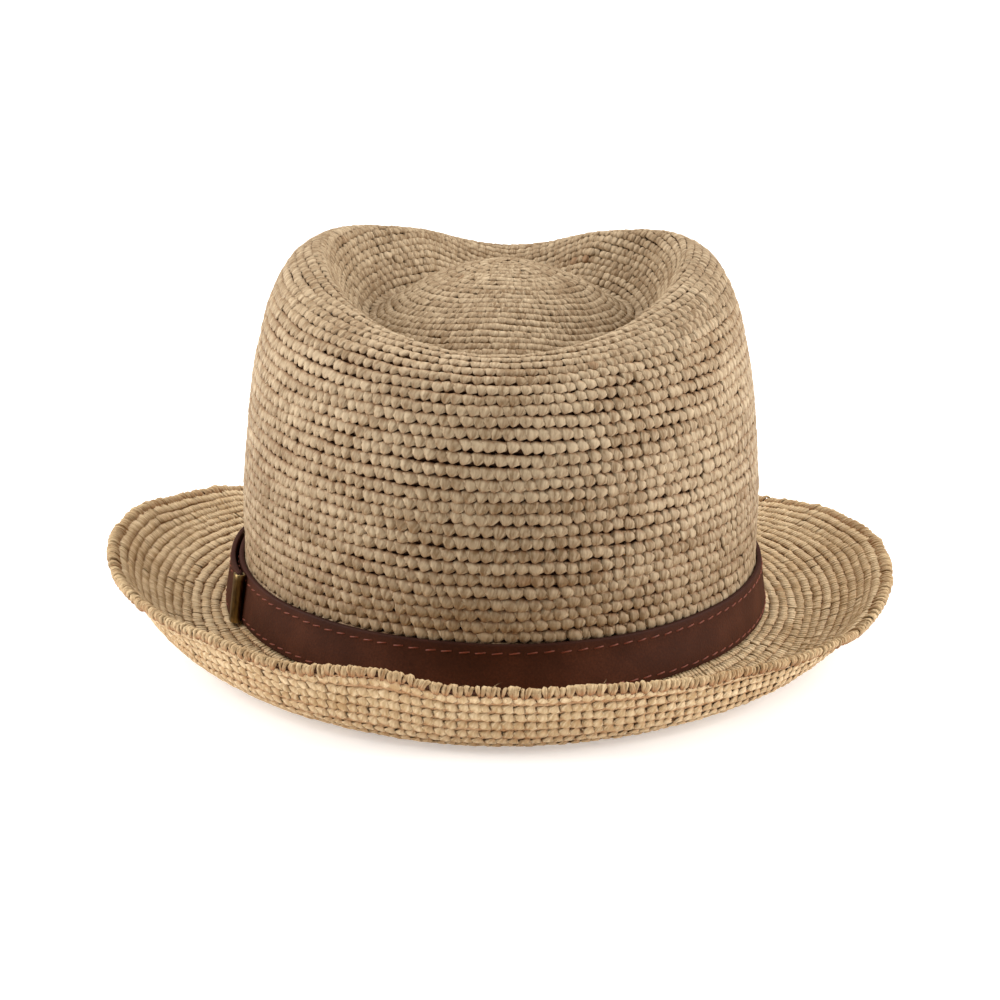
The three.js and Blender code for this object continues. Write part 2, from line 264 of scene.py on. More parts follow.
def even(points, shares):
    """The same lines, cut at shares of their own lengths."""
    step = np.linalg.norm(np.diff(points, axis=1), axis=2)
    length = np.concatenate([np.zeros((len(points), 1)), np.cumsum(step, axis=1)], axis=1)
    cut = np.empty((len(points), len(shares), 3))
    for i, (line, walked) in enumerate(zip(points, length)):
        for axis in range(3):
            cut[i, :, axis] = np.interp(shares * walked[-1], walked, line[:, axis])
    return cut


def crown_lines():
    """The crown's outside, cut into rows, which are finer on the top than on the wall."""
    line = flowing(crown_points, 16)
    inside = np.clip(1 - line[..., 0] / crest_radius[:, None], 0, 1)
    points = around(line[..., 0], line[..., 1], MOUND_FORWARD * inside**2)
    pitch = np.interp(np.arange(CROWN_ROWS * STEPS) / (CROWN_ROWS * STEPS), ROW_SHARES, ROW_PITCHES)
    return even(points, np.concatenate([[0], np.cumsum(pitch)]) / pitch.sum())


def brim_lines():
    """The brim's upper face, cut into rows; the last one, where the edge is turned over, is wider."""
    heights = np.stack([np.full(DIRECTIONS, BREAK_HEIGHT)] + [
        through(AZIMUTHS, BRIM_HEIGHTS[:, i], side) for i in range(4)], axis=1)
    share = np.linspace(0, 1, 60)
    sag = BRIM_SAG * through(DROP_AZIMUTHS, DROP_SHARES, azimuth)[:, None] * share**3
    outer = oval(BRIM_WIDTH, BRIM_LENGTH, azimuth) - EDGE_DIAMETER
    radius = base_radius[:, None] + (outer - base_radius)[:, None] * share
    pitch = np.ones(BRIM_ROWS)
    pitch[-1] = LAST_ROW_PITCH
    rows = np.concatenate([[0], np.cumsum(pitch)]) / pitch.sum()
    shares = np.interp(np.arange(BRIM_ROWS * STEPS + 1) / STEPS, np.arange(BRIM_ROWS + 1), rows)
    return even(around(radius, through(BRIM_SHARES, heights, share) - sag, 0), shares)


def rounded(grid, first, last, reach):
    """The grid with its rows from first to last eased into each other, so a crease gets a radius."""
    weights = np.exp(-(np.arange(-reach, reach + 1) / (reach / 2)) ** 2)
    weights = weights / weights.sum()
    smooth = grid.copy()
    for k in range(first, last):
        smooth[:, k] = np.tensordot(weights, grid[:, k - reach:k + reach + 1], axes=(0, 1))
    return smooth


hat_grid = np.concatenate([crown_lines(), brim_lines()[:, 1:]], axis=1)
BREAK = CROWN_ROWS * STEPS
hat_grid = rounded(hat_grid, BREAK - BREAK_ROUND, BREAK + BREAK_ROUND + 1, BREAK_ROUND)
print("surface grid:", hat_grid.shape, "last ring at", hat_grid[0, -1].round(4))

# %% [markdown]
# Hand-made rows are never quite even. Low waves are added towards the brim's edge: sums of sines with
# seeded phases, so every run gives the same hat. One short rise at the back marks the place where the
# last row ends on its own start.

# %% Slow waves of a hand-made shape
rng = np.random.default_rng(7)


def waves(count, longest, shortest):
    """Sum of sines round the hat, about one unit high."""
    total = np.zeros(DIRECTIONS)
    for _ in range(count):
        turns = rng.integers(longest, shortest)
        total += np.sin(np.radians(azimuth) * turns + rng.uniform(0, 2 * np.pi)) / math.sqrt(count)
    return total


LONG_WAVE = 0.5 * MM
SHORT_WAVE = 0.25 * MM
WAVES_FROM_ROW = 5
EDGE_JOIN = 257
EDGE_JOIN_RISE = 3.0 * MM
EDGE_JOIN_SPREAD = 7.5

rows_here = np.arange(hat_grid.shape[1]) / STEPS
brim_share = (rows_here - CROWN_ROWS - WAVES_FROM_ROW) / (BRIM_ROWS - WAVES_FROM_ROW)
towards_edge = np.clip(brim_share, 0, 1) ** 2
hat_grid[..., 2] += LONG_WAVE * waves(5, 5, 17)[:, None] * towards_edge
hat_grid[..., 2] += SHORT_WAVE * waves(4, 18, 40)[:, None] * towards_edge
from_join = np.mod(azimuth - EDGE_JOIN + 180, 360) - 180
join = np.exp(-(from_join / EDGE_JOIN_SPREAD) ** 2)
hat_grid[..., 2] += EDGE_JOIN_RISE * join[:, None] * towards_edge


def facing(grid):
    """Directions square to the surface: out of the crown, up from the brim."""
    round_ = np.roll(grid, -1, axis=0) - np.roll(grid, 1, axis=0)
    down = np.gradient(grid, axis=1)
    normal = np.cross(down, round_)
    normal[:, 0] = normal[:, 2].mean(axis=0)
    return normal / np.linalg.norm(normal, axis=2, keepdims=True)


hat_normals = facing(hat_grid)
print("the edge's lowest and highest places are", round(float(np.ptp(hat_grid[:, -1, 2])) / MM, 1),
      "mm apart in height")


# %% Any point on the hat
def blend_grid(values, turn, row):
    """Values of a grid at any azimuth, in degrees, and row."""
    a = np.mod(turn + 90, 360) / 360 * DIRECTIONS
    r = np.clip(row * STEPS, 0, values.shape[1] - 1.001)
    a0, r0 = np.floor(a).astype(int), np.floor(r).astype(int)
    fa, fr = (a - a0)[..., None], (r - r0)[..., None]
    a0, a1 = a0 % DIRECTIONS, (a0 + 1) % DIRECTIONS
    low = values[a0, r0] * (1 - fr) + values[a0, r0 + 1] * fr
    high = values[a1, r0] * (1 - fr) + values[a1, r0 + 1] * fr
    return low * (1 - fa) + high * fa


def on_hat(turn, row, out):
    """A point off the fabric's outer face by a distance, and the direction square to it."""
    normal = blend_grid(hat_normals, turn, row)
    normal = normal / np.linalg.norm(normal, axis=-1, keepdims=True)
    return blend_grid(hat_grid, turn, row) + normal * out[..., None], normal


# %% [markdown]
# ## The crochet
#
# A crocheted hat is one long ribbon of raffia pulled through itself. It starts in the middle of the
# crown and goes round in a spiral. On the crown each stitch shows three strands: a broad leg that leans
# over the row below, a thinner leg beside it whose foot tucks into a little pocket, and behind them the
# strand that runs along the row. The brim was pressed: two thin legs stand side by side on top, a broad
# one lies below, and a strand fills each groove. A bump map could fake this from far away, but the
# pockets, the ragged outline and the shadows need real strands. Ten thousand stitches would be slow to
# place one by one, so a strand is described as a few points in a stitch's own small cell, and numpy
# bends every copy onto the hat at once.
#
# Each row of a table is one point of a strand. Its columns are the place across the stitch and up the
# row, both from 0 to 1, the height off the fabric's outer face, half the strand's width and thickness,
# in millimetres, and the share of painted shade where the point is tucked away.

# %% One stitch in its own cell
SEAM_AZIMUTH = 90.0
STRAP_ROWS = 4
STITCH_ROWS = [0, 28, 40, 50, CROWN_ROWS - 1, CROWN_ROWS, CROWN_ROWS + BRIM_ROWS]
STITCH_WIDTHS = np.array([2.5, 2.75, 3.55, 3.75, 3.95, 3.3, 3.3]) * MM
DRAWN_WIDTH = 3.6 * MM
FAT_LEG = np.array([
    [0.62, 1.09, -1.6, 0, 0, 1],
    [0.58, 0.93, -0.9, 2.15, 0.5, 0.45],
    [0.52, 0.66, -0.22, 2.52, 0.54, 0],
    [0.43, 0.34, -0.06, 2.15, 0.56, 0],
    [0.35, 0.07, -0.24, 1, 0.48, 0.2],
    [0.3, -0.14, -1.2, 0, 0, 1],
])
THIN_LEG = np.array([
    [1.04, 1.07, -1.4, 0, 0, 0.9],
    [1.01, 0.86, -0.62, 1.35, 0.48, 0.25],
    [0.95, 0.5, -0.3, 1.45, 0.5, 0.05],
    [0.89, 0.17, -1.5, 0, 0, 1],
])
TOP_LEG = np.array([
    [0.6, 1.1, -1.4, 0, 0, 0.5],
    [0.56, 0.92, -0.6, 2.2, 0.48, 0.12],
    [0.48, 0.56, -0.12, 2.45, 0.58, 0],
    [0.4, 0.12, -0.22, 1.7, 0.48, 0.08],
    [0.35, -0.14, -0.9, 0, 0, 0.5],
])
# The strand along the row lies deep in the pockets, so it is painted in full shade.
ROW_STRAND = np.array([
    [-0.2, 0.5, -1.7, 0, 0, 1],
    [0.02, 0.52, -1.6, 2.2, 0.55, 1],
    [0.98, 0.48, -1.6, 2.2, 0.55, 1],
    [1.2, 0.5, -1.7, 0, 0, 1],
])
BRIM_LEG = np.array([
    [0.38, 1.11, -0.95, 0, 0, 0.6],
    [0.34, 0.91, -0.42, 1, 0.44, 0.12],
    [0.29, 0.5, -0.14, 1.1, 0.54, 0],
    [0.24, 0.09, -0.4, 1, 0.44, 0.12],
    [0.2, -0.11, -0.95, 0, 0, 0.6],
])
SECOND_BRIM_LEG = BRIM_LEG + np.array([0.5, 0, 0, 0, 0, 0])
BACK_LEG = np.array([
    [0.22, 1.04, -1.25, 0, 0, 1],
    [0.32, 0.86, -1.5, 1.35, 0.42, 0.5],
    [0.5, 0.5, -1.76, 1.95, 0.5, 0],
    [0.68, 0.16, -1.5, 0.95, 0.42, 0.6],
    [0.78, -0.03, -1.15, 0, 0, 1],
])
GROOVE_STRAND = np.array([
    [-0.2, 0, -1.25, 0, 0, 0.5],
    [0.02, 0, -1.08, 1.3, 0.48, 0.5],
    [0.98, 0, -1.08, 1.3, 0.48, 0.5],
    [1.2, 0, -1.25, 0, 0, 0.5],
])
FOOT_STRAND = ROW_STRAND + np.array([0, 0.5, 0.3, 0, 0, 0])
# Painted shade: the broad leg under the brim has its tone lowered by this share.
BACK_LEG_PAINTED_SHADE = 0.7
# Share of painted shade in the tucks of the brim's upper strands.
BRIM_PAINTED_SHADE = 0.8
TOP_STITCH = ((TOP_LEG, 5, 1), (THIN_LEG, 4, 1), (ROW_STRAND, 4, 0.3))
CROWN_STITCH = ((FAT_LEG, 6, 1), (THIN_LEG, 5, 1), (ROW_STRAND, 4, 0.3))
BRIM_STITCH = ((BRIM_LEG, 4, 1), (SECOND_BRIM_LEG, 4, 1),
               (BACK_LEG, 6, 1), (GROOVE_STRAND, 4, 0.3))

# %% [markdown]
# The hat's top, its sides and the brim were pressed on a block, and the back of the wall was left
# loose, so its pockets are deep, and dark from their own shadow and from painted shade. A number from
# 0 (flat) to 1 (loose) says how deep the strands stand at a place, and the stitch tables are drawn for 1.
# On the crown and under the brim the same number also sets how much painted shade the tucks get.

# %% How loose the stitches are
PRESSED = -0.35
BRIM_LOOSE = 0.3
BRIM_END_LOOSE = 0.12
BRIM_END_ROWS = 3
TOP_LOOSE_ROWS = [20, 38]
TOP_LOOSE = [0.22, 1.0]
SIDE_LOOSE = 0.32


def looseness(row, turn):
    """How deep the stitches of a row stand, from 0 to 1, at each azimuth."""
    if row >= CROWN_ROWS:
        ending = row >= CROWN_ROWS + BRIM_ROWS - BRIM_END_ROWS
        return np.full_like(turn, BRIM_END_LOOSE if ending else BRIM_LOOSE)
    behind = np.abs(np.sin(np.radians(turn))) ** 1.5
    return np.interp(row, TOP_LOOSE_ROWS, TOP_LOOSE) * (SIDE_LOOSE + (1 - SIDE_LOOSE) * behind)


# %% [markdown]
# Strands, wraps, threads and loose fibres are all tapered tubes along a short line. Blender's own curves
# with a bevel could draw them, but thousands of curves are slow and can't carry a value of their own
# for each stitch. So the points of all the tubes are worked out together and joined to one mesh.

# %% Tubes round many lines at once
def tube_mesh(centres, normals, half_width, half_thickness, sides):
    """Points of one tapered tube round each line. The first and last point of a line close its tube."""
    count, length = centres.shape[:2]
    along = np.gradient(centres, axis=1)
    along /= np.linalg.norm(along, axis=2, keepdims=True) + 1e-12
    across = np.cross(normals, along)
    across /= np.linalg.norm(across, axis=2, keepdims=True) + 1e-12
    out = np.cross(along, across)
    angle = 2 * np.pi * np.arange(sides) / sides
    ring = slice(1, length - 1)
    offset = across[:, ring, None] * (half_width[:, ring, None] * np.cos(angle))[..., None]
    offset = offset + out[:, ring, None] * (half_thickness[:, ring, None] * np.sin(angle))[..., None]
    rings = (centres[:, ring, None] + offset).reshape(count, -1, 3)
    return np.concatenate([centres[:, :1], rings, centres[:, -1:]], axis=1)


def tube_faces(length, sides):
    """Faces of one such tube, and for each corner its place round and along the tube, both 0 to 1."""
    faces, corners = [], []
    rings = length - 2
    last = 1 + rings * sides
    for j in range(sides):
        a, b = j, (j + 1) % sides
        u0, u1 = j / sides, (j + 1) / sides
        first = 1 / (length - 1)
        faces.append((0, 1 + b, 1 + a))
        corners.append(((u0 + u1) / 2, 0, u1, first, u0, first))
        for i in range(rings - 1):
            low, high = 1 + i * sides, 1 + (i + 1) * sides
            v0, v1 = (i + 1) / (length - 1), (i + 2) / (length - 1)
            faces.append((low + a, low + b, high + b, high + a))
            corners.append((u0, v0, u1, v0, u1, v1, u0, v1))
        end = 1 + (rings - 1) * sides
        faces.append((end + a, end + b, last))
        corners.append((u0, 1 - first, u1, 1 - first, (u0 + u1) / 2, 1))
    return faces, corners


def tube_group(place, normal, wide, thick, sides, tone, girth, length, tuck_shade):
    """Tubes round many lines, with the tones, sizes and tucks that the joined mesh needs."""
    faces, corners = tube_faces(place.shape[1], sides)
    return {"points": tube_mesh(place, normal, wide, thick, sides), "faces": faces, "corners": corners,
            "tone": tone, "girth": girth, "length": length, "tuck_shade": tuck_shade}


# %% A joined mesh of many tubes
LOWEST = 0.05 * MM
ATLAS_MARGIN = 0.06


def join_tubes(name, groups):
    """One mesh object from groups of tubes.

    Each tube gets a cell of its own in one map, and a second map
    whose units are millimetres of straw, so that fibres run along every strand.
    """
    tubes = sum(len(g["points"]) for g in groups)
    grid = math.ceil(math.sqrt(tubes))
    points, loops, sizes, straw, atlas, tones, tucks = [], [], [], [], [], [], []
    base, number = 0, 0
    for g in groups:
        count, each = g["points"].shape[:2]
        start = base + np.arange(count)[:, None] * each
        flat = np.array([i for face in g["faces"] for i in face])
        uv = np.array([c for corner in g["corners"] for c in corner]).reshape(-1, 2)
        cell = number + np.arange(count)
        corner_of_cell = np.stack([cell % grid, cell // grid], axis=1)[:, None] / grid
        atlas.append(corner_of_cell + (ATLAS_MARGIN + (1 - 2 * ATLAS_MARGIN) * uv)[None] / grid)
        shift = rng.uniform(0, 400, (count, 1, 2))
        size = np.stack([np.full(count, g["girth"]), g["length"]], axis=1)[:, None]
        straw.append(uv[None] * size + shift)
        loops.append((start + flat).reshape(-1))
        sizes.append(np.tile([len(face) for face in g["faces"]], count))
        points.append(g["points"].reshape(-1, 3))
        tones.append(np.repeat(g["tone"], each))
        tuck_shade = np.broadcast_to(g["tuck_shade"], (count, np.shape(g["tuck_shade"])[-1]))
        tucks.append(tuck_of_points(tuck_shade, each))
        base += count * each
        number += count
    points = np.concatenate(points)
    points[:, 2] = np.maximum(points[:, 2], LOWEST)
    return mesh_object(name, points, np.concatenate(loops), np.concatenate(sizes),
                       np.concatenate(straw, axis=None), np.concatenate(atlas, axis=None),
                       np.concatenate(tones), np.concatenate(tucks))


def tuck_of_points(tuck_shade, each):
    """The tuck of every point of each tube, from those of its line."""
    sides = (each - 2) // (tuck_shade.shape[1] - 2)
    rings = np.repeat(tuck_shade[:, 1:-1], sides, axis=1)
    return np.concatenate([tuck_shade[:, :1], rings, tuck_shade[:, -1:]], axis=1).reshape(-1)


def mesh_object(name, points, loops, sizes, straw=None, atlas=None, tone=None, tuck_shade=None):
    """A smooth-shaded mesh object from flat arrays."""
    mesh = bpy.data.meshes.new(name)
    mesh.vertices.add(len(points))
    mesh.vertices.foreach_set("co", points.astype(np.float32).reshape(-1))
    mesh.loops.add(len(loops))
    mesh.loops.foreach_set("vertex_index", loops.astype(np.int32))
    mesh.polygons.add(len(sizes))
    starts = np.concatenate([[0], np.cumsum(sizes)[:-1]])
    mesh.polygons.foreach_set("loop_start", starts.astype(np.int32))
    mesh.update(calc_edges=True)
    mesh.polygons.foreach_set("use_smooth", np.ones(len(sizes), bool))
    for label, values in (("Straw", straw), ("OFBake", atlas)):
        if values is not None:
            layer = mesh.uv_layers.new(name=label)
            layer.data.foreach_set("uv", values.astype(np.float32).reshape(-1))
    for label, values in (("tone", tone), ("tuck_shade", tuck_shade)):
        if values is not None:
            layer = mesh.attributes.new(label, "FLOAT", "POINT")
            layer.data.foreach_set("value", values.astype(np.float32))
    mesh.validate()
    piece = bpy.data.objects.new(name, mesh)
    bpy.context.scene.collection.objects.link(piece)
    print(f"{name}: {int((sizes - 2).sum())} triangles")
    return piece


# %% [markdown]
# A hand pulls one stitch tighter than the next, so every size below has a small random part, and the
# rows stray from their lines a little. All of it is drawn from one seeded generator.

# %% The line of one row
AROUND = 1441
LONG_WANDER = 0.09
SHORT_WANDER = 0.06


def walk_along(line):
    """Length walked from the start of a line to each of its points."""
    return np.concatenate([[0], np.cumsum(np.linalg.norm(np.diff(line, axis=0), axis=1))])


def row_path(row):
    """The line of a row round the hat: azimuths, the share of a spiral, and the length walked.

    The crown is a spiral, so a row ends one row further out than it starts. Under the strap the spiral
    runs out, and the brim is made of plain rings.
    """
    turn = np.linspace(0, 1, AROUND)
    spiral = np.clip((CROWN_ROWS - 1 - row) / STRAP_ROWS, 0, 1)
    azimuths = SEAM_AZIMUTH + 360 * turn
    place, _ = on_hat(azimuths, row + 0.5 + spiral * turn, np.zeros_like(turn))
    return azimuths, spiral, walk_along(place)


def wander(row, turn):
    """How far a row strays from its line, in rows. The first and the last keep to it."""
    if row in (0, CROWN_ROWS + BRIM_ROWS - 1):
        return 0 * turn
    return (LONG_WANDER * np.sin(np.radians(3 * turn) + 0.7 * row)
            + SHORT_WANDER * np.sin(np.radians(11 * turn) + row))


# %% Stitches of one row
STRAW_RUN = (3, 16)
STRAW_SPREAD = 0.12
TONE_SPREAD = 0.07
SWAY = 0.07
LEAN_PIVOT = 0.4
GIRTH_SPREAD = 0.06
TALL_SPREAD = 0.04
POINT_SPREAD = 0.025
END_LIFT = 0.45
FLAT_WIDENING = 0.3
FLAT_THINNING = 0.25
# Least share of painted shade in a tuck, where the stitches lie flat.
LEAST_PAINTED_SHADE = 0.2
STRAW_GIRTH = 5.0


def straw_tones(count):
    """A tone for each stitch. One straw lasts for several stitches before the next is laid in."""
    tones = np.empty(count)
    start = 0
    while start < count:
        run = int(rng.integers(*STRAW_RUN))
        tones[start:start + run] = rng.normal(0.5, STRAW_SPREAD)
        start += run
    return np.clip(tones + rng.normal(0, TONE_SPREAD, count), 0, 1)


def depth(shape, loose):
    """Height of a strand's points off the fabric's face, in mm, less varied where it is pressed."""
    out = np.where(shape[:, 2] > -1, PRESSED + (shape[:, 2] - PRESSED) * loose, shape[:, 2])
    is_end = np.arange(len(shape)) % (len(shape) - 1) == 0
    lifted = (shape[:, 3] == 0) & is_end & (shape[:, 1] != 0.5)
    return np.where(lifted, shape[:, 2] * (1 - END_LIFT * (1 - loose)), out)


def crochet_row(row, stitch):
    """The strands of every stitch in a row."""
    azimuths, spiral, walked = row_path(row)
    count = max(6, round(walked[-1] / np.interp(row, STITCH_ROWS, STITCH_WIDTHS)))
    width = walked[-1] / count
    tones = straw_tones(count)
    lean = rng.normal(0, SWAY, count)
    shift = rng.normal(0, SWAY, count)
    fat = rng.normal(1, GIRTH_SPREAD, count)
    tall = rng.normal(0, TALL_SPREAD, count)
    made = []
    for shape, sides, wobble in stitch:
        points = (count, len(shape))
        across = shape[:, 0] + wobble * (shift[:, None] + lean[:, None] * (shape[:, 1] - LEAN_PIVOT))
        up = shape[:, 1] + wobble * (tall[:, None] + rng.normal(0, POINT_SPREAD, points))
        reach = (np.arange(count)[:, None] + across) * width
        turns = np.floor(reach / walked[-1])
        turn = np.interp(reach - turns * walked[-1], walked, azimuths) + 360 * turns
        loose = looseness(row, turn)
        out = (depth(shape, loose) + wobble * rng.normal(0, SWAY, (count, 1))) * MM
        walk = row + 1 - up + wander(row, turn) + spiral * (turn - SEAM_AZIMUTH) / 360
        place, normal = on_hat(turn, walk, out)
        girth = fat[:, None] ** wobble * rng.normal(1, GIRTH_SPREAD, points) * MM
        wide = shape[:, 3] * girth * (width / DRAWN_WIDTH) * (1 + FLAT_WIDENING * (1 - loose))
        thick = shape[:, 4] * girth * (1 - FLAT_THINNING * (1 - loose))
        # Painted shade: the broad leg under the brim is painted darker.
        tone = tones * (BACK_LEG_PAINTED_SHADE if shape is BACK_LEG else 1)
        # Painted shade: a point's share of painted shade grows with how loose its stitch stands, and is
        # fixed on the brim's upper strands.
        stain_and_shade = loose if row < CROWN_ROWS or shape is BACK_LEG else np.full_like(loose, BRIM_PAINTED_SHADE)
        tuck_shade = shape[:, 5] * (LEAST_PAINTED_SHADE + (1 - LEAST_PAINTED_SHADE) * stain_and_shade)
        length = np.linalg.norm(np.diff(place, axis=1), axis=2).sum(axis=1) / MM
        made.append(tube_group(place, normal, wide, thick, sides, tone, STRAW_GIRTH, length, tuck_shade))
    return made


def crochet(name, first, last, stitch):
    """One piece of fabric, from one row to another, as a joined mesh."""
    groups = []
    for row in range(first, last):
        extra = ((FOOT_STRAND, 4, 0.3),) if row == CROWN_ROWS else ()
        groups.extend(crochet_row(row, stitch + extra))
    stitches = sum(len(g["points"]) for g in groups) // len(stitch)
    print("rows", first, "to", last, "with", stitches, "stitches")
    return join_tubes(name, groups)


# %% Crochet the crown and the brim
MOUND_ROWS = 23
TOP_ROWS = 36
WALL_ROWS = (46, 55)
BRIM_MIDDLE = CROWN_ROWS + 8
crown_pieces = [
    crochet("crochet_mound", 0, MOUND_ROWS, TOP_STITCH),
    crochet("crochet_top", MOUND_ROWS, TOP_ROWS, TOP_STITCH),
    crochet("crochet_wall_upper", TOP_ROWS, WALL_ROWS[0], CROWN_STITCH),
    crochet("crochet_wall_middle", WALL_ROWS[0], WALL_ROWS[1], CROWN_STITCH),
    crochet("crochet_wall_lower", WALL_ROWS[1], CROWN_ROWS, CROWN_STITCH),
]
brim_pieces = [
    crochet("crochet_brim_inner", CROWN_ROWS, BRIM_MIDDLE, BRIM_STITCH),
    crochet("crochet_brim_outer", BRIM_MIDDLE, CROWN_ROWS + BRIM_ROWS, BRIM_STITCH),
]

# %% [markdown]
# ## The wrapped edge
#
# The brim ends in a firm edge: a straw core that is closely wrapped with raffia, one wrap every 1.6
# millimetres. A twisted rope would be quicker to make, but its turns would all be alike. So each wrap
# is a short tube bent most of the way round the core. Two neighbours meet below and part above, and
# each pair leans its own way.

# %% Wraps round the edge
EDGE_WRAP_PITCH = 1.6 * MM
EDGE_HALF_HEIGHT = 2.1
EDGE_MIDDLE = 1.2
EDGE_HALF_THICKNESS = 1.35
WRAP_ANGLES = np.linspace(-108, 215, 9)
WRAP_SPREAD = np.array([0.3, 0.5, 0.8, 1.0, 1.1, 1.1, 1.0, 0.9, 0.8])
WRAP_BULGE = np.array([0.5, 0.8, 0.95, 1.0, 1.05, 1.0, 0.9, 0.75, 0.5])
# Share of painted shade along a wrap, full at its two tucked ends.
WRAP_TUCK_SHADE = np.array([1, 0.5, 0.1, 0, 0, 0, 0.2, 0.6, 1])
WRAP_LENGTH = 12.0


def edge_frame(turn):
    """Middle of the edge at an azimuth, with the directions out past the brim and square to it."""
    rows = np.full_like(turn, CROWN_ROWS + BRIM_ROWS - 0.1)
    last, normal = on_hat(turn, rows, np.zeros_like(turn))
    before, _ = on_hat(turn, rows - 0.6, np.zeros_like(turn))
    out = last - before
    out /= np.linalg.norm(out, axis=-1, keepdims=True)
    return last, out, normal


def edge_wraps():
    """Wraps of uneven width, in pairs, round the whole edge."""
    turns = np.linspace(0, 360, AROUND)
    walked = walk_along(edge_frame(turns)[0])
    count = 2 * round(walked[-1] / EDGE_WRAP_PITCH / 2)
    pitch = walked[-1] / count
    angle = np.radians(WRAP_ANGLES + rng.normal(0, 10, (count, 1)))
    pair = np.arange(count) // 2 + 0.5
    side = np.where(np.arange(count) % 2, 0.5, -0.5)[:, None] + rng.normal(0, 0.12, (count, 1))
    lean = rng.normal(0.5, 0.35, (count // 2, 1)).repeat(2, axis=0) * (np.arange(9) / 8 - 0.5)
    reach = (2 * pair[:, None] + side * WRAP_SPREAD + lean) * pitch
    turn = np.interp(np.mod(reach, walked[-1]), walked, turns)
    base, out, normal = edge_frame(turn)
    swell = np.minimum(rng.normal(0.97, 0.10, (count, 1)), 1.12)
    across = (EDGE_MIDDLE + EDGE_HALF_HEIGHT * np.cos(angle) * swell) * MM
    lift = EDGE_HALF_THICKNESS * np.sin(angle) + rng.normal(0, 0.12, (count, 1))
    up = (-FABRIC / MM / 2 + lift * swell) * MM
    place = base + out * across[..., None] + normal * up[..., None]
    radial = out * np.cos(angle)[..., None] + normal * np.sin(angle)[..., None]
    uneven = rng.normal(1, 0.2, (count, 1)) * rng.normal(1, 0.12, (count, 9))
    wide = 0.62 * pitch * WRAP_BULGE * uneven
    thick = 0.55 * MM * WRAP_BULGE * rng.normal(1, 0.1, (count, 1))
    return tube_group(place, radial, wide, thick, 5, straw_tones(count), STRAW_GIRTH,
                      np.full(count, WRAP_LENGTH), WRAP_TUCK_SHADE)


def edge_core():
    """Solid straw core inside the wraps, so that no light shows between them, painted in full shade."""
    count = 360
    turn = np.arange(count) * 360 / count
    base, out, normal = edge_frame(turn)
    angle = np.radians(np.arange(8) * 45)
    across = (EDGE_MIDDLE + (EDGE_HALF_HEIGHT - 0.75) * np.cos(angle)) * MM
    up = (-FABRIC / MM / 2 + (EDGE_HALF_THICKNESS - 0.6) * np.sin(angle)) * MM
    points = base[:, None] + out[:, None] * across[:, None] + normal[:, None] * up[:, None]
    return ring_surface("edge_core", points)


def ring_surface(name, points):
    """A closed ring from cross-sections that follow each other round the hat."""
    count, sides = points.shape[:2]
    i, j = np.meshgrid(np.arange(count), np.arange(sides), indexing="ij")
    i1, j1 = (i + 1) % count, (j + 1) % sides
    loops = np.stack([i * sides + j, i1 * sides + j, i1 * sides + j1, i * sides + j1], axis=-1)
    u = np.stack([i, i + 1, i + 1, i], axis=-1) / count
    v = np.stack([j, j, j + 1, j + 1], axis=-1) / sides
    wide = np.stack([u * 800, v * 12], axis=-1)
    flat = points.reshape(-1, 3)
    flat[:, 2] = np.maximum(flat[:, 2], LOWEST)
    # Painted shade: the ring carries full tuck shade, so it takes the dark shade colour of its finish.
    return mesh_object(name, flat, loops.reshape(-1), np.full(count * sides, 4), wide,
                       np.stack([u, v], axis=-1), np.full(count * sides, 0.4), np.ones(count * sides))


# %% [markdown]
# Torn straw never lies quite flat: hair-fine ends stand up from the wall and the edge. Blender could
# grow them as hair, but the part's files hold meshes only, so each is a thin tube with three sides.

# %% Loose fibres
EDGE_ROW = CROWN_ROWS + BRIM_ROWS
EDGE_FIBRES = 140
WALL_FIBRES = 160
FIBRE_ROOT = 0.4 * MM
FIBRE_WIDTH = np.array([0, 0.06, 0.055, 0.04, 0]) * MM


def loose_fibres(count, first, last, longest):
    """Fine ends of straw that stand up from the fabric, half a millimetre to a few millimetres long."""
    along = np.linspace(0, 1, 5)
    turn = rng.uniform(0, 360, (count, 1)) + along * rng.normal(0, 1.6, (count, 1))
    row = rng.uniform(first, last, (count, 1)) + along * rng.normal(0, 0.6, (count, 1))
    lift = along ** 1.5 * rng.uniform(0.5, longest, (count, 1))
    place, normal = on_hat(turn, np.minimum(row, EDGE_ROW - 0.01), lift * MM - FIBRE_ROOT)
    _, out, _ = edge_frame(turn)
    at_edge = np.clip(row - (EDGE_ROW - 1), 0, 1)[..., None]
    place = place + at_edge * out * (3.2 * MM + lift[..., None] * 0.6 * MM)
    width = FIBRE_WIDTH * np.ones((count, 1))
    return tube_group(place, normal, width, width, 3, rng.uniform(0.5, 1, count), 0.5,
                      np.full(count, 4.0), np.zeros(5))


edge_fibres = loose_fibres(EDGE_FIBRES, EDGE_ROW - 0.5, EDGE_ROW + 0.5, 1.6)
edge_piece = join_tubes("edge_wraps", [edge_wraps(), edge_fibres])
wall_fibres = join_tubes("loose_fibres", [loose_fibres(WALL_FIBRES, 38, CROWN_ROWS - 5, 2.4)])
edge_inside = edge_core()

# %% [markdown]
# ## The leather strap
#
# One strip of leather goes round the crown once and a little more, so its outer end lies over its
# start at the wearer's left. A box bent round the crown would have hard corners that leather never has.
# Here the cross-section is a rounded strip, and its foot and head follow the crown's own lean. The
# edges carry a mask of their own, because a cut leather edge is darker and rougher than its face.

# %% Rounded strip along the crown
STRAP_THICKNESS = 1.6 * MM
STRAP_START = 172.0
STRAP_TURN = 391.0
STRAP_GAP = 0.3 * MM
STRAP_LIFT = 2.8 * MM
STRAP_RISE_SPREAD = 26.0
STRAP_CORNER = 0.5 * MM
STRAP_LENGTHS = 480
STRAP_BANDS = 8
CUT_FROM = 0.9 * MM
CUT_FADE = 0.7 * MM


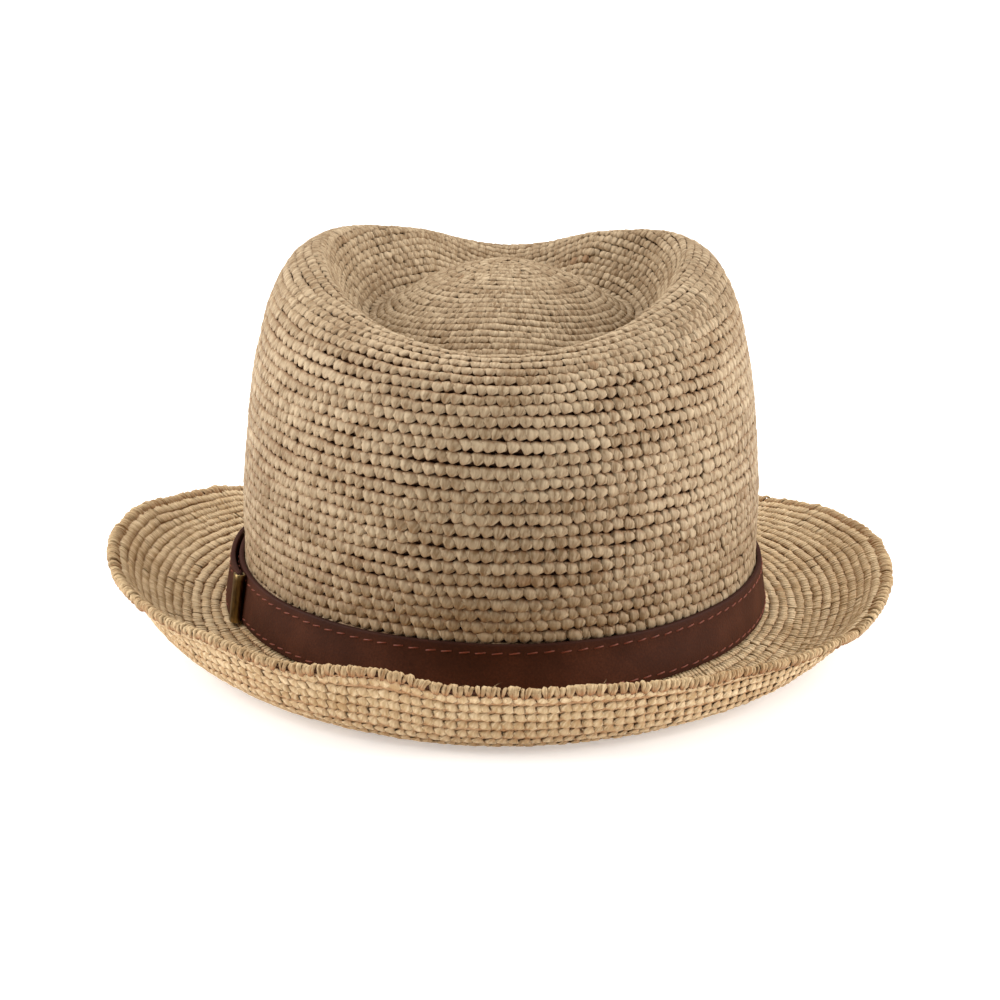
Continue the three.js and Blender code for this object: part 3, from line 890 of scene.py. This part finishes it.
def strip_section():
    """Heights, thicknesses and edge mask round the strap's cross-section."""
    half = (STRAP_TOP - STRAP_BOTTOM) / 2
    deep = STRAP_THICKNESS / 2
    quarter = np.radians(np.array([0, 30, 60, 90]))
    heights, depths = [], []
    for up, out, start in ((1, 1, 0), (1, -1, 90), (-1, -1, 180), (-1, 1, 270)):
        angle = quarter + np.radians(start)
        heights.extend(up * (half - STRAP_CORNER) + STRAP_CORNER * np.sin(angle))
        depths.extend(out * (deep - STRAP_CORNER) + STRAP_CORNER * np.cos(angle))
        if start in (90, 270):
            steps = np.linspace(1, -1, 9)[1:-1] * (-1 if start == 270 else 1)
            heights.extend(steps * (half - STRAP_CORNER))
            depths.extend(np.full(7, out * deep))
    heights, depths = np.array(heights), np.array(depths)
    edge = np.clip((np.abs(heights) - half + CUT_FROM) / CUT_FADE, 0, 1)
    return heights + (STRAP_TOP + STRAP_BOTTOM) / 2, depths + deep, edge


def strap_place(turn, height, depth):
    """A point of the strap, from degrees along it, its height and its depth from the inner face."""
    rise = np.clip((turn - 360 + STRAP_RISE_SPREAD) / STRAP_RISE_SPREAD, 0, 1)
    offset = STRAP_GAP + STRAP_LIFT * rise**2 * (3 - 2 * rise)
    radius = wall_radius(STRAP_START + turn, height) + offset + depth
    angle = np.radians(STRAP_START + turn)
    return np.stack([radius * np.cos(angle), radius * np.sin(angle), height + 0 * radius], axis=-1)


def shell_quads(levels, sides):
    """Quads between outlines that follow each other, and the corners' places round and along."""
    i, j = np.meshgrid(np.arange(levels), np.arange(sides), indexing="ij")
    low, high, j1 = i * sides, (i + 1) * sides, (j + 1) % sides
    loops = np.stack([low + j, low + j1, high + j1, high + j], axis=-1)
    u = np.stack([j, j + 1, j + 1, j], axis=-1) / sides
    v = np.stack([i, i, i + 1, i + 1], axis=-1) / levels
    return loops.reshape(-1), u, v


def strap():
    """The strap as one closed strip that rises over its own start, a little wavy in height."""
    heights, depths, edge = strip_section()
    turn = np.linspace(0, STRAP_TURN - 0.3, STRAP_LENGTHS + 1)[:, None]
    slow = np.sin(np.radians(turn * 5.3)) * 0.10 + np.sin(np.radians(turn * 13 + 40)) * 0.06
    points = strap_place(turn, heights[None] + slow * MM, depths[None])
    sides = len(heights)
    loops, v, u = shell_quads(STRAP_LENGTHS, sides)
    caps = np.concatenate([np.arange(sides)[::-1], STRAP_LENGTHS * sides + np.arange(sides)])
    band = np.floor(u[..., :1] * STRAP_BANDS * 0.99999)
    atlas = np.stack([u * STRAP_BANDS - band, (band + 0.03 + 0.88 * v) / (STRAP_BANDS + 1)], axis=-1)
    cap_uv = np.concatenate([
        np.stack([np.linspace(0.1, 0.4, sides), np.full(sides, 0.97)], axis=-1),
        np.stack([np.linspace(0.5, 0.8, sides), np.full(sides, 0.97)], axis=-1)])
    atlas = np.concatenate([atlas.reshape(-1, 2), cap_uv])
    wide = np.concatenate([np.stack([u * 590, v * 38], axis=-1).reshape(-1, 2), cap_uv])
    return mesh_object("leather_strap", points.reshape(-1, 3), np.concatenate([loops, caps]),
                       np.concatenate([np.full(STRAP_LENGTHS * sides, 4), [sides, sides]]),
                       wide, atlas, np.tile(edge, STRAP_LENGTHS + 1))


strap_piece = strap()

# %% [markdown]
# Two rows of saddle stitching run along the strap in rust-coloured waxed thread. Each visible stitch is
# a short thread that comes up through the leather and dives back in. A dashed line could be painted on
# the leather, but thread catches the light, so it gets a tube that starts and ends below the surface.

# %% Saddle stitches
THREAD_PITCH = 5.2 * MM
THREAD_LENGTH = 3.9 * MM
THREAD_INSET = 2.6 * MM
THREAD_ALONG = np.array([0, 0.12, 0.5, 0.88, 1])
THREAD_OUT = np.array([-0.7, 0.02, 0.1, 0.02, -0.7]) * MM
THREAD_WIDTH = np.array([0, 0.22, 0.25, 0.22, 0]) * MM
THREAD_TILT = 0.5 * MM


def saddle_stitches():
    """Both rows of thread, joined."""
    groups = []
    for height in (STRAP_TOP - THREAD_INSET, STRAP_BOTTOM + 0.7 * THREAD_INSET):
        turns = np.linspace(0.5, STRAP_TURN - 2.6, 1500)
        level = np.full_like(turns, height)
        walked = walk_along(strap_place(turns, level, np.full_like(turns, STRAP_THICKNESS)))
        count = int(walked[-1] / THREAD_PITCH) - 1
        reach = (np.arange(count)[:, None] + 0.4) * THREAD_PITCH + THREAD_ALONG * THREAD_LENGTH
        reach = reach + rng.normal(0, 0.12 * MM, (count, 1))
        turn = np.interp(reach, walked, turns)
        level = height + (THREAD_ALONG - 0.5) * THREAD_TILT + rng.normal(0, 0.07 * MM, (count, 1))
        place = strap_place(turn, level, STRAP_THICKNESS + THREAD_OUT)
        angle = np.radians(STRAP_START + turn)
        normal = np.stack([np.cos(angle), np.sin(angle), np.full_like(angle, 0.25)], axis=-1)
        width = THREAD_WIDTH + np.zeros((count, 1))
        groups.append(tube_group(place, normal, width, width * 0.9, 6, rng.uniform(0, 1, count), 1.8,
                                 np.full(count, 3.5), np.zeros(5)))
    return join_tubes("saddle_stitches", groups)


thread_piece = saddle_stitches()

# %% [markdown]
# ## The brass tip
#
# A small strip of brass is folded round the strap's outer end. Seen from behind it is a narrow upright
# tube, open at the top. The fold is drawn once as a U and stacked upwards, with a slightly smaller U at
# both ends, which gives the worn, rounded rim that catches the light.

# %% Folded brass
TIP_METAL = 0.6 * MM
TIP_LEATHER_INSIDE = 2.2 * MM
TIP_ROUND = 0.16 * MM
TIP_NEAR_END = 0.05 * MM
RIM_FADE = 0.5 * MM


def fold_outline(inset):
    """The U in its own plane, its metal thinner by the inset on both faces."""
    outside = STRAP_THICKNESS / 2 + STRAP_GAP + TIP_METAL - inset
    inside = STRAP_THICKNESS / 2 + STRAP_GAP + inset
    angle = np.radians(np.linspace(-90, 90, 25))
    lead = np.linspace(-TIP_LEATHER_INSIDE + inset, 0, 6)[:-1]
    outer = np.concatenate([
        np.stack([lead, np.full(5, -outside)], axis=1),
        outside * np.stack([np.cos(angle), np.sin(angle)], axis=1),
        np.stack([lead[::-1], np.full(5, outside)], axis=1)])
    inner = np.concatenate([
        np.stack([lead, np.full(5, inside)], axis=1),
        inside * np.stack([np.cos(angle[::-1]), np.sin(angle[::-1])], axis=1),
        np.stack([lead[::-1], np.full(5, -inside)], axis=1)])
    return np.concatenate([outer, inner])


def tip_axes():
    """Where the strap's outer end is, and the directions ahead, outwards and up along its lean."""
    heights = np.array([STRAP_BOTTOM, STRAP_TOP])
    end = strap_place(np.array([STRAP_TURN, STRAP_TURN]), heights, np.full(2, STRAP_THICKNESS / 2))
    middle = np.array([STRAP_THICKNESS / 2])
    before = strap_place(np.array([STRAP_TURN - 2.0]), heights[:1], middle)[0]
    up = (end[1] - end[0]) / np.linalg.norm(end[1] - end[0])
    ahead = (end[0] - before) / np.linalg.norm(end[0] - before)
    across = np.cross(up, ahead)
    across /= np.linalg.norm(across)
    return end[0], np.cross(across, up), across, up


def brass_tip():
    """The fold stacked upwards, closed by a strip of quads below and above."""
    foot, ahead, across, up = tip_axes()
    tall = STRAP_TOP - STRAP_BOTTOM
    heights = np.concatenate([[0, TIP_NEAR_END, TIP_ROUND], np.linspace(0, tall, 9)[1:-1],
                              [tall - TIP_ROUND, tall - TIP_NEAR_END, tall]])
    inset = np.concatenate([[TIP_ROUND, TIP_NEAR_END], np.zeros(9), [TIP_NEAR_END, TIP_ROUND]])
    rings = []
    for height, thinner in zip(heights, inset):
        outline = fold_outline(thinner)
        rings.append(foot + outline[:, :1] * ahead + outline[:, 1:] * across + height * up)
    points = np.array(rings)
    levels, sides = points.shape[0] - 1, points.shape[1]
    loops, u, v = shell_quads(levels, sides)
    lid = np.array([(sides - 1 - k, sides - 2 - k, k + 1, k) for k in range(sides // 2 - 1)])
    ends = np.concatenate([lid.reshape(-1), (lid[:, ::-1] + levels * sides).reshape(-1)])
    corner = np.tile(np.array([[0, 0], [1, 0], [1, 1], [0, 1]]), (len(lid), 1))
    slot = np.repeat(np.arange(len(lid)), 4) / len(lid)
    cap = np.stack([slot + corner[:, 0] / len(lid), 0.93 + 0.02 * corner[:, 1]], axis=1)
    atlas = np.concatenate([np.stack([u, v * 0.9], axis=-1).reshape(-1, 2), cap, cap + [0, 0.04]])
    rim = np.clip(1 - np.minimum(heights, tall - heights) / RIM_FADE, 0, 1)
    return mesh_object("folded_brass_tip", points.reshape(-1, 3), np.concatenate([loops, ends]),
                       np.full(levels * sides + 2 * len(lid), 4), atlas * 20, atlas,
                       np.repeat(rim, sides))


tip_piece = brass_tip()

# %% [markdown]
# ## Finishes
#
# Straw, leather, thread and brass all need some irregular grain. The parts that several finishes share
# are node groups with named inputs, built once. A group only gives out colours and values; the shader
# itself, with its constant numbers, stays in each material.

# %% Helpers for nodes
def put(tree, kind, values=None, **settings):
    """Add a node, set it up, and connect or fill its inputs."""
    made = tree.nodes.new(kind)
    for key, value in settings.items():
        setattr(made, key, value)
    for socket, value in (values or {}).items():
        if isinstance(value, bpy.types.NodeSocket):
            tree.links.new(value, made.inputs[socket])
        else:
            made.inputs[socket].default_value = value
    return made


def group_tree(name, inputs, outputs):
    """An empty shader group with named sockets."""
    tree = bpy.data.node_groups.new(name, "ShaderNodeTree")
    for label, kind, value in inputs:
        tree.interface.new_socket(label, in_out="INPUT", socket_type=kind).default_value = value
    for label, kind in outputs:
        tree.interface.new_socket(label, in_out="OUTPUT", socket_type=kind)
    return tree, tree.nodes.new("NodeGroupInput").outputs, tree.nodes.new("NodeGroupOutput")


def maths(tree, operation, a, b, clamp=False):
    """One sum on two values."""
    return put(tree, "ShaderNodeMath", {0: a, 1: b}, operation=operation, use_clamp=clamp).outputs[0]


def weigh(tree, a, share, b, other, clamp=False):
    """Two values added, each by its share."""
    return maths(tree, "ADD", maths(tree, "MULTIPLY", a, share), maths(tree, "MULTIPLY", b, other), clamp)


def scaled(tree, value, factor, start):
    """A value times a factor, counted from a start."""
    return maths(tree, "ADD", maths(tree, "MULTIPLY", value, factor), start)


def mix(tree, factor, first, second):
    """Blend of two colours."""
    made = put(tree, "ShaderNodeMix", {"Factor": factor, 6: first, 7: second}, data_type="RGBA")
    return made.outputs[2]


def noise(tree, place, scale, detail):
    """Cloudy noise, as one value."""
    made = put(tree, "ShaderNodeTexNoise", {"Vector": place, "Scale": scale, "Detail": detail})
    return made.outputs[0]


def painted(tree, name):
    """A value that every point of the mesh carries."""
    return put(tree, "ShaderNodeAttribute", attribute_name=name).outputs["Fac"]


def wire(tree, node, values):
    """Connect values to the named inputs of a node."""
    for label, value in values.items():
        tree.links.new(value, node.inputs[label])


def ramp(tree, factor, stops):
    """Colour ramp with stops of place and colour."""
    made = put(tree, "ShaderNodeValToRGB", {0: factor})
    elements = made.color_ramp.elements
    while len(elements) < len(stops):
        elements.new(0.5)
    for element, (place, colour) in zip(elements, stops):
        element.position = place
        element.color = (*colour, 1)
    return made.outputs[0]


def srgb(r, g, b):
    """Colour as it is picked on a screen, 0 to 255, turned into the linear values that nodes use."""
    return tuple((c / 255 / 12.92 if c / 255 <= 0.04045 else ((c / 255 + 0.055) / 1.055) ** 2.4)
                 for c in (r, g, b))


# %% [markdown]
# Raffia is a dried leaf, torn lengthwise into strips. Fine fibres run along it, one straw is paler or
# browner than the next, and where two straws lie close the shade between them looks orange. The
# **straw_fibres** group makes that from the tone that each stitch carries, streaks along the straw
# map and slow patches over the whole hat. It paints the shade itself from each point's tuck shade:
# a warm orange first, and a dark rust brown in the deepest pockets.

# %% Straw group
def straw_fibres():
    """Straw's colour with painted shade, roughness and height, from its tone, its tuck shade and its own
    map.
    """
    tree, given, result = group_tree(
        "straw_fibres",
        [(label, "NodeSocketColor", (0.5, 0.4, 0.3, 1)) for label in ("Pale", "Brown", "Warm", "Rust")]
        + [("Streaks", "NodeSocketFloat", 0.5)],
        [("Color", "NodeSocketColor"), ("Roughness", "NodeSocketFloat"), ("Height", "NodeSocketFloat")])
    uv = put(tree, "ShaderNodeUVMap", uv_map="Straw").outputs[0]
    tone = painted(tree, "tone")
    place = put(tree, "ShaderNodeTexCoord").outputs["Object"]
    lengthwise = put(tree, "ShaderNodeMapping", {"Vector": uv, "Scale": (0.95, 0.11, 1)}).outputs[0]
    fibre = noise(tree, lengthwise, 1.6, 3.0)
    hair = noise(tree, lengthwise, 3.4, 2.0)
    patches = noise(tree, place, 38.0, 2.0)
    both = weigh(tree, fibre, 0.55, hair, 0.45)
    streak = maths(tree, "MULTIPLY", maths(tree, "SUBTRACT", both, 0.5), given["Streaks"])
    shade = maths(tree, "ADD", maths(tree, "MULTIPLY", tone, 0.75), streak)
    slow = maths(tree, "MULTIPLY", maths(tree, "SUBTRACT", patches, 0.32), 0.7)
    body = mix(tree, maths(tree, "ADD", shade, slow, True), given["Brown"], given["Pale"])
    # Painted shade: the tuck shade mixes the straw towards a warm orange and, where it is deepest, towards
    # the dark rust shade. Very dark straws are warmed too, as their own colour.
    tuck_shade = painted(tree, "tuck_shade")
    rare = maths(tree, "MULTIPLY", maths(tree, "SUBTRACT", 0.12, tone), 6.0, True)
    stain_and_shade = maths(tree, "MAXIMUM", maths(tree, "MULTIPLY", rare, 0.4), maths(tree, "MULTIPLY", tuck_shade, 0.95))
    warmed = mix(tree, maths(tree, "MULTIPLY", stain_and_shade, 1.3, True), body, given["Warm"])
    final = mix(tree, maths(tree, "POWER", stain_and_shade, 2.0), warmed, given["Rust"])
    wire(tree, result, {"Color": final, "Roughness": scaled(tree, hair, 0.25, 0.5),
                        "Height": weigh(tree, fibre, 0.6, hair, 0.4)})
    return tree


straw_group = straw_fibres()


# %% [markdown]
# Leather has pores, thread has twist and worn brass has scratches. Seen from this far they are all fine
# spots, stretched more or less along one axis, over slow patches of wear. So one group, **worn_grain**,
# serves the three.

# %% Grain group for leather, thread and brass
def worn_grain():
    """Slow patches, fine pores and a height, from the place on the hat."""
    tree, given, result = group_tree(
        "worn_grain",
        [("Scale", "NodeSocketFloat", 900.0), ("Stretch", "NodeSocketFloat", 1.0),
         ("Depth", "NodeSocketFloat", 0.5)],
        [("Mask", "NodeSocketFloat"), ("Pores", "NodeSocketFloat"), ("Height", "NodeSocketFloat")])
    place = put(tree, "ShaderNodeTexCoord").outputs["Object"]
    stretch = put(tree, "ShaderNodeCombineXYZ", {"X": 1.0, "Y": 1.0, "Z": given["Stretch"]}).outputs[0]
    drawn = put(tree, "ShaderNodeVectorMath", {0: place, 1: stretch}, operation="MULTIPLY").outputs[0]
    cells = put(tree, "ShaderNodeTexVoronoi", {"Vector": drawn, "Scale": given["Scale"]},
                feature="SMOOTH_F1").outputs["Distance"]
    fine = noise(tree, drawn, given["Scale"], 4.0)
    slow = noise(tree, place, 60.0, 3.0)
    wire(tree, result, {"Mask": slow, "Pores": fine,
                        "Height": weigh(tree, cells, 0.6, fine, given["Depth"])})
    return tree


grain_group = worn_grain()
print("groups:", straw_group.name, grain_group.name)


# %% Helpers for materials
def finish(name, roughness=0.5, metallic=0.0, specular=0.5):
    """A material with its own shader, whose constant numbers are set here."""
    material = bpy.data.materials.new(name)
    material.use_nodes = True
    shader = material.node_tree.nodes["Principled BSDF"]
    shader.inputs["Roughness"].default_value = roughness
    shader.inputs["Metallic"].default_value = metallic
    shader.inputs["Specular IOR Level"].default_value = specular
    return material, material.node_tree, shader


def place_group(tree, group, values):
    """A node group in a material, with its named inputs filled."""
    made = put(tree, "ShaderNodeGroup", node_tree=group)
    for socket, value in values.items():
        made.inputs[socket].default_value = value
    return made.outputs


def bump(tree, shader, height, strength, distance):
    """Relief that only the light sees."""
    made = put(tree, "ShaderNodeBump", {"Height": height, "Strength": strength, "Distance": distance})
    wire(tree, shader, {"Normal": made.outputs[0]})


# %% Raffia in three copies, paler or darker by painted light and shade
def raffia(name, pale, brown, warm_shade, deep_shade, streaks):
    """Raffia whose strands run from brown to pale, with painted shade where tucked: a warm orange, then a
    dark rust brown.
    """
    material, tree, shader = finish(name, specular=0.2)
    straw = place_group(tree, straw_group, {"Pale": (*pale, 1), "Brown": (*brown, 1), "Warm": (*warm_shade, 1),
                                            "Rust": (*deep_shade, 1), "Streaks": streaks})
    wire(tree, shader, {"Base Color": straw["Color"], "Roughness": straw["Roughness"]})
    bump(tree, shader, straw["Height"], 1.0, 0.5 * MM)
    return material


# All three are the same straw. The brim's copy is palest, as painted light on its upper face; the edge's
# copy is darker, as painted shade on the lip; the crown's copy is darkest, as painted shade on the top and
# the wall. The last colour of each is the painted shade deep in its pockets.
crown_raffia = raffia("crown_raffia", srgb(183, 161, 130), srgb(124, 99, 69), srgb(146, 95, 54),
                      srgb(40, 20, 9), 3.6)
brim_raffia = raffia("brim_raffia", srgb(228, 204, 165), srgb(174, 143, 101), srgb(174, 114, 64),
                     srgb(112, 56, 24), 3.2)
edge_raffia = raffia("edge_raffia", srgb(198, 172, 132), srgb(140, 106, 67), srgb(158, 96, 48),
                     srgb(56, 28, 12), 4.0)

# %% [markdown]
# The strap is dark, matt leather, a little redder where it wore thin. A photograph of leather could be
# laid on it, but it would stretch round the crown, so the colour follows the grain and the patches. Its
# cut edges are darker still.


# %% Leather
def strap_leather():
    """Dark leather, darker along its cut edges."""
    material, tree, shader = finish("strap_leather", roughness=0.6, specular=0.08)
    grain = place_group(tree, grain_group, {"Scale": 1500.0, "Stretch": 1.0, "Depth": 0.7})
    edge = painted(tree, "tone")
    shade = weigh(tree, grain["Mask"], 0.6, grain["Pores"], 0.4, True)
    face = ramp(tree, shade, [(0.3, srgb(52, 27, 16)), (0.5, srgb(66, 35, 22)), (0.72, srgb(84, 47, 31))])
    cut = mix(tree, maths(tree, "MULTIPLY", edge, 0.65), face, (*srgb(52, 28, 22), 1))
    wire(tree, shader, {"Base Color": cut, "Roughness": scaled(tree, grain["Pores"], 0.3, 0.48)})
    bump(tree, shader, grain["Height"], 0.5, 0.2 * MM)
    return material


# %% [markdown]
# Waxed thread is smooth and only slightly shiny, in two close shades of rust. Old brass is dull and
# brown on its faces and bright on the rims that things rub against, so the mesh carries a value for how
# near the rim a point is.


# %% Thread and brass
def waxed_thread():
    """Rust-coloured thread."""
    material, tree, shader = finish("waxed_thread", roughness=0.5, specular=0.4)
    grain = place_group(tree, grain_group, {"Scale": 3000.0, "Stretch": 4.0, "Depth": 1.0})
    colour = ramp(tree, grain["Pores"], [(0.3, srgb(98, 42, 24)), (0.7, srgb(132, 62, 36))])
    wire(tree, shader, {"Base Color": colour})
    bump(tree, shader, grain["Height"], 0.5, 0.1 * MM)
    return material


def aged_brass():
    """Brown brass with bright rims."""
    material, tree, shader = finish("aged_brass", roughness=0.38, metallic=1.0)
    grain = place_group(tree, grain_group, {"Scale": 1200.0, "Stretch": 0.25, "Depth": 0.8})
    rim = painted(tree, "tone")
    dark = ramp(tree, grain["Pores"], [(0.3, srgb(74, 58, 36)), (0.7, srgb(122, 100, 62))])
    bright = mix(tree, maths(tree, "MULTIPLY", rim, 0.8), dark, (*srgb(176, 152, 104), 1))
    wire(tree, shader, {"Base Color": bright, "Roughness": scaled(tree, grain["Mask"], 0.3, 0.25)})
    bump(tree, shader, grain["Height"], 0.2, 0.1 * MM)
    return material


# %% [markdown]
# Each piece now gets its finish and the moving body that it belongs to (a hat has only one), and the
# solid that it stands for is hidden. Several pieces stand for the crown, because one mesh with all its
# stitches would be too heavy.

# %% Give every piece its finish and its place in the assembly
def fit(pieces, material, node=None):
    """Finish, body and hidden solid for some pieces."""
    for piece in pieces:
        piece.data.materials.append(material)
        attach(piece, "root")
        if node:
            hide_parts(node)


fit(crown_pieces, crown_raffia, "crown")
fit(brim_pieces, brim_raffia, "brim")
fit([edge_piece, edge_inside], edge_raffia, "brim_edge")
fit([wall_fibres], crown_raffia)
fit([strap_piece], strap_leather(), "hat_band")
fit([thread_piece], waxed_thread())
fit([tip_piece], aged_brass(), "band_tip")

# %% [markdown]
# ## Studio
#
# The hat is lit by two large soft boxes, one at each side and a little behind, which is why its sides
# are paler than its middle. A slightly weaker one hangs overhead. The floor is plain and nearly white
# and glows a little, because a lit white floor alone would turn grey away from the hat.

# %% Floor, lights and surroundings
def studio_floor():
    """A wide, pale floor, which is part of the stage and not of the hat."""
    points = np.array([[-30, -30, 0], [30, -30, 0], [30, 30, 0], [-30, 30, 0]], float)
    floor = mesh_object("studio_floor", points, np.arange(4), np.array([4]))
    material, tree, shader = finish("studio_floor", roughness=0.9, specular=0.1)
    place = put(tree, "ShaderNodeTexCoord").outputs["Object"]
    cloud = noise(tree, place, 3.0, 2.0)
    colour = ramp(tree, cloud, [(0.3, (0.86, 0.86, 0.86)), (0.7, (0.88, 0.88, 0.88))])
    wire(tree, shader, {"Base Color": colour})
    shader.inputs["Emission Color"].default_value = (1, 1, 1, 1)
    shader.inputs["Emission Strength"].default_value = 0.36
    floor.data.materials.append(material)


def soft_box(name, place, size, power):
    """A rectangular lamp that points at the hat."""
    data = bpy.data.lights.new(name, "AREA")
    data.shape = "RECTANGLE"
    data.size, data.size_y = size
    data.energy = power
    lamp = bpy.data.objects.new(name, data)
    lamp.location = place
    lamp.rotation_euler = (Vector((0, 0, 0.05)) - Vector(place)).to_track_quat("-Z", "Y").to_euler()
    bpy.context.scene.collection.objects.link(lamp)


def surroundings():
    """Even, weak white light from all sides."""
    world = bpy.data.worlds.new("pale_studio")
    bpy.context.scene.world = world
    world.use_nodes = True
    sky = world.node_tree.nodes["Background"]
    sky.inputs["Color"].default_value = (1, 1, 1, 1)
    sky.inputs["Strength"].default_value = 0.22


studio_floor()
soft_box("left_soft_box", (-1.5, 0.0, 0.8), (1.3, 1.3), 37)
soft_box("right_soft_box", (1.5, 0.0, 0.8), (1.3, 1.3), 36)
soft_box("overhead_soft_box", (0, 0.6, 1.9), (1.6, 1.2), 33)
surroundings()
bpy.context.scene.view_settings.view_transform = "Standard"
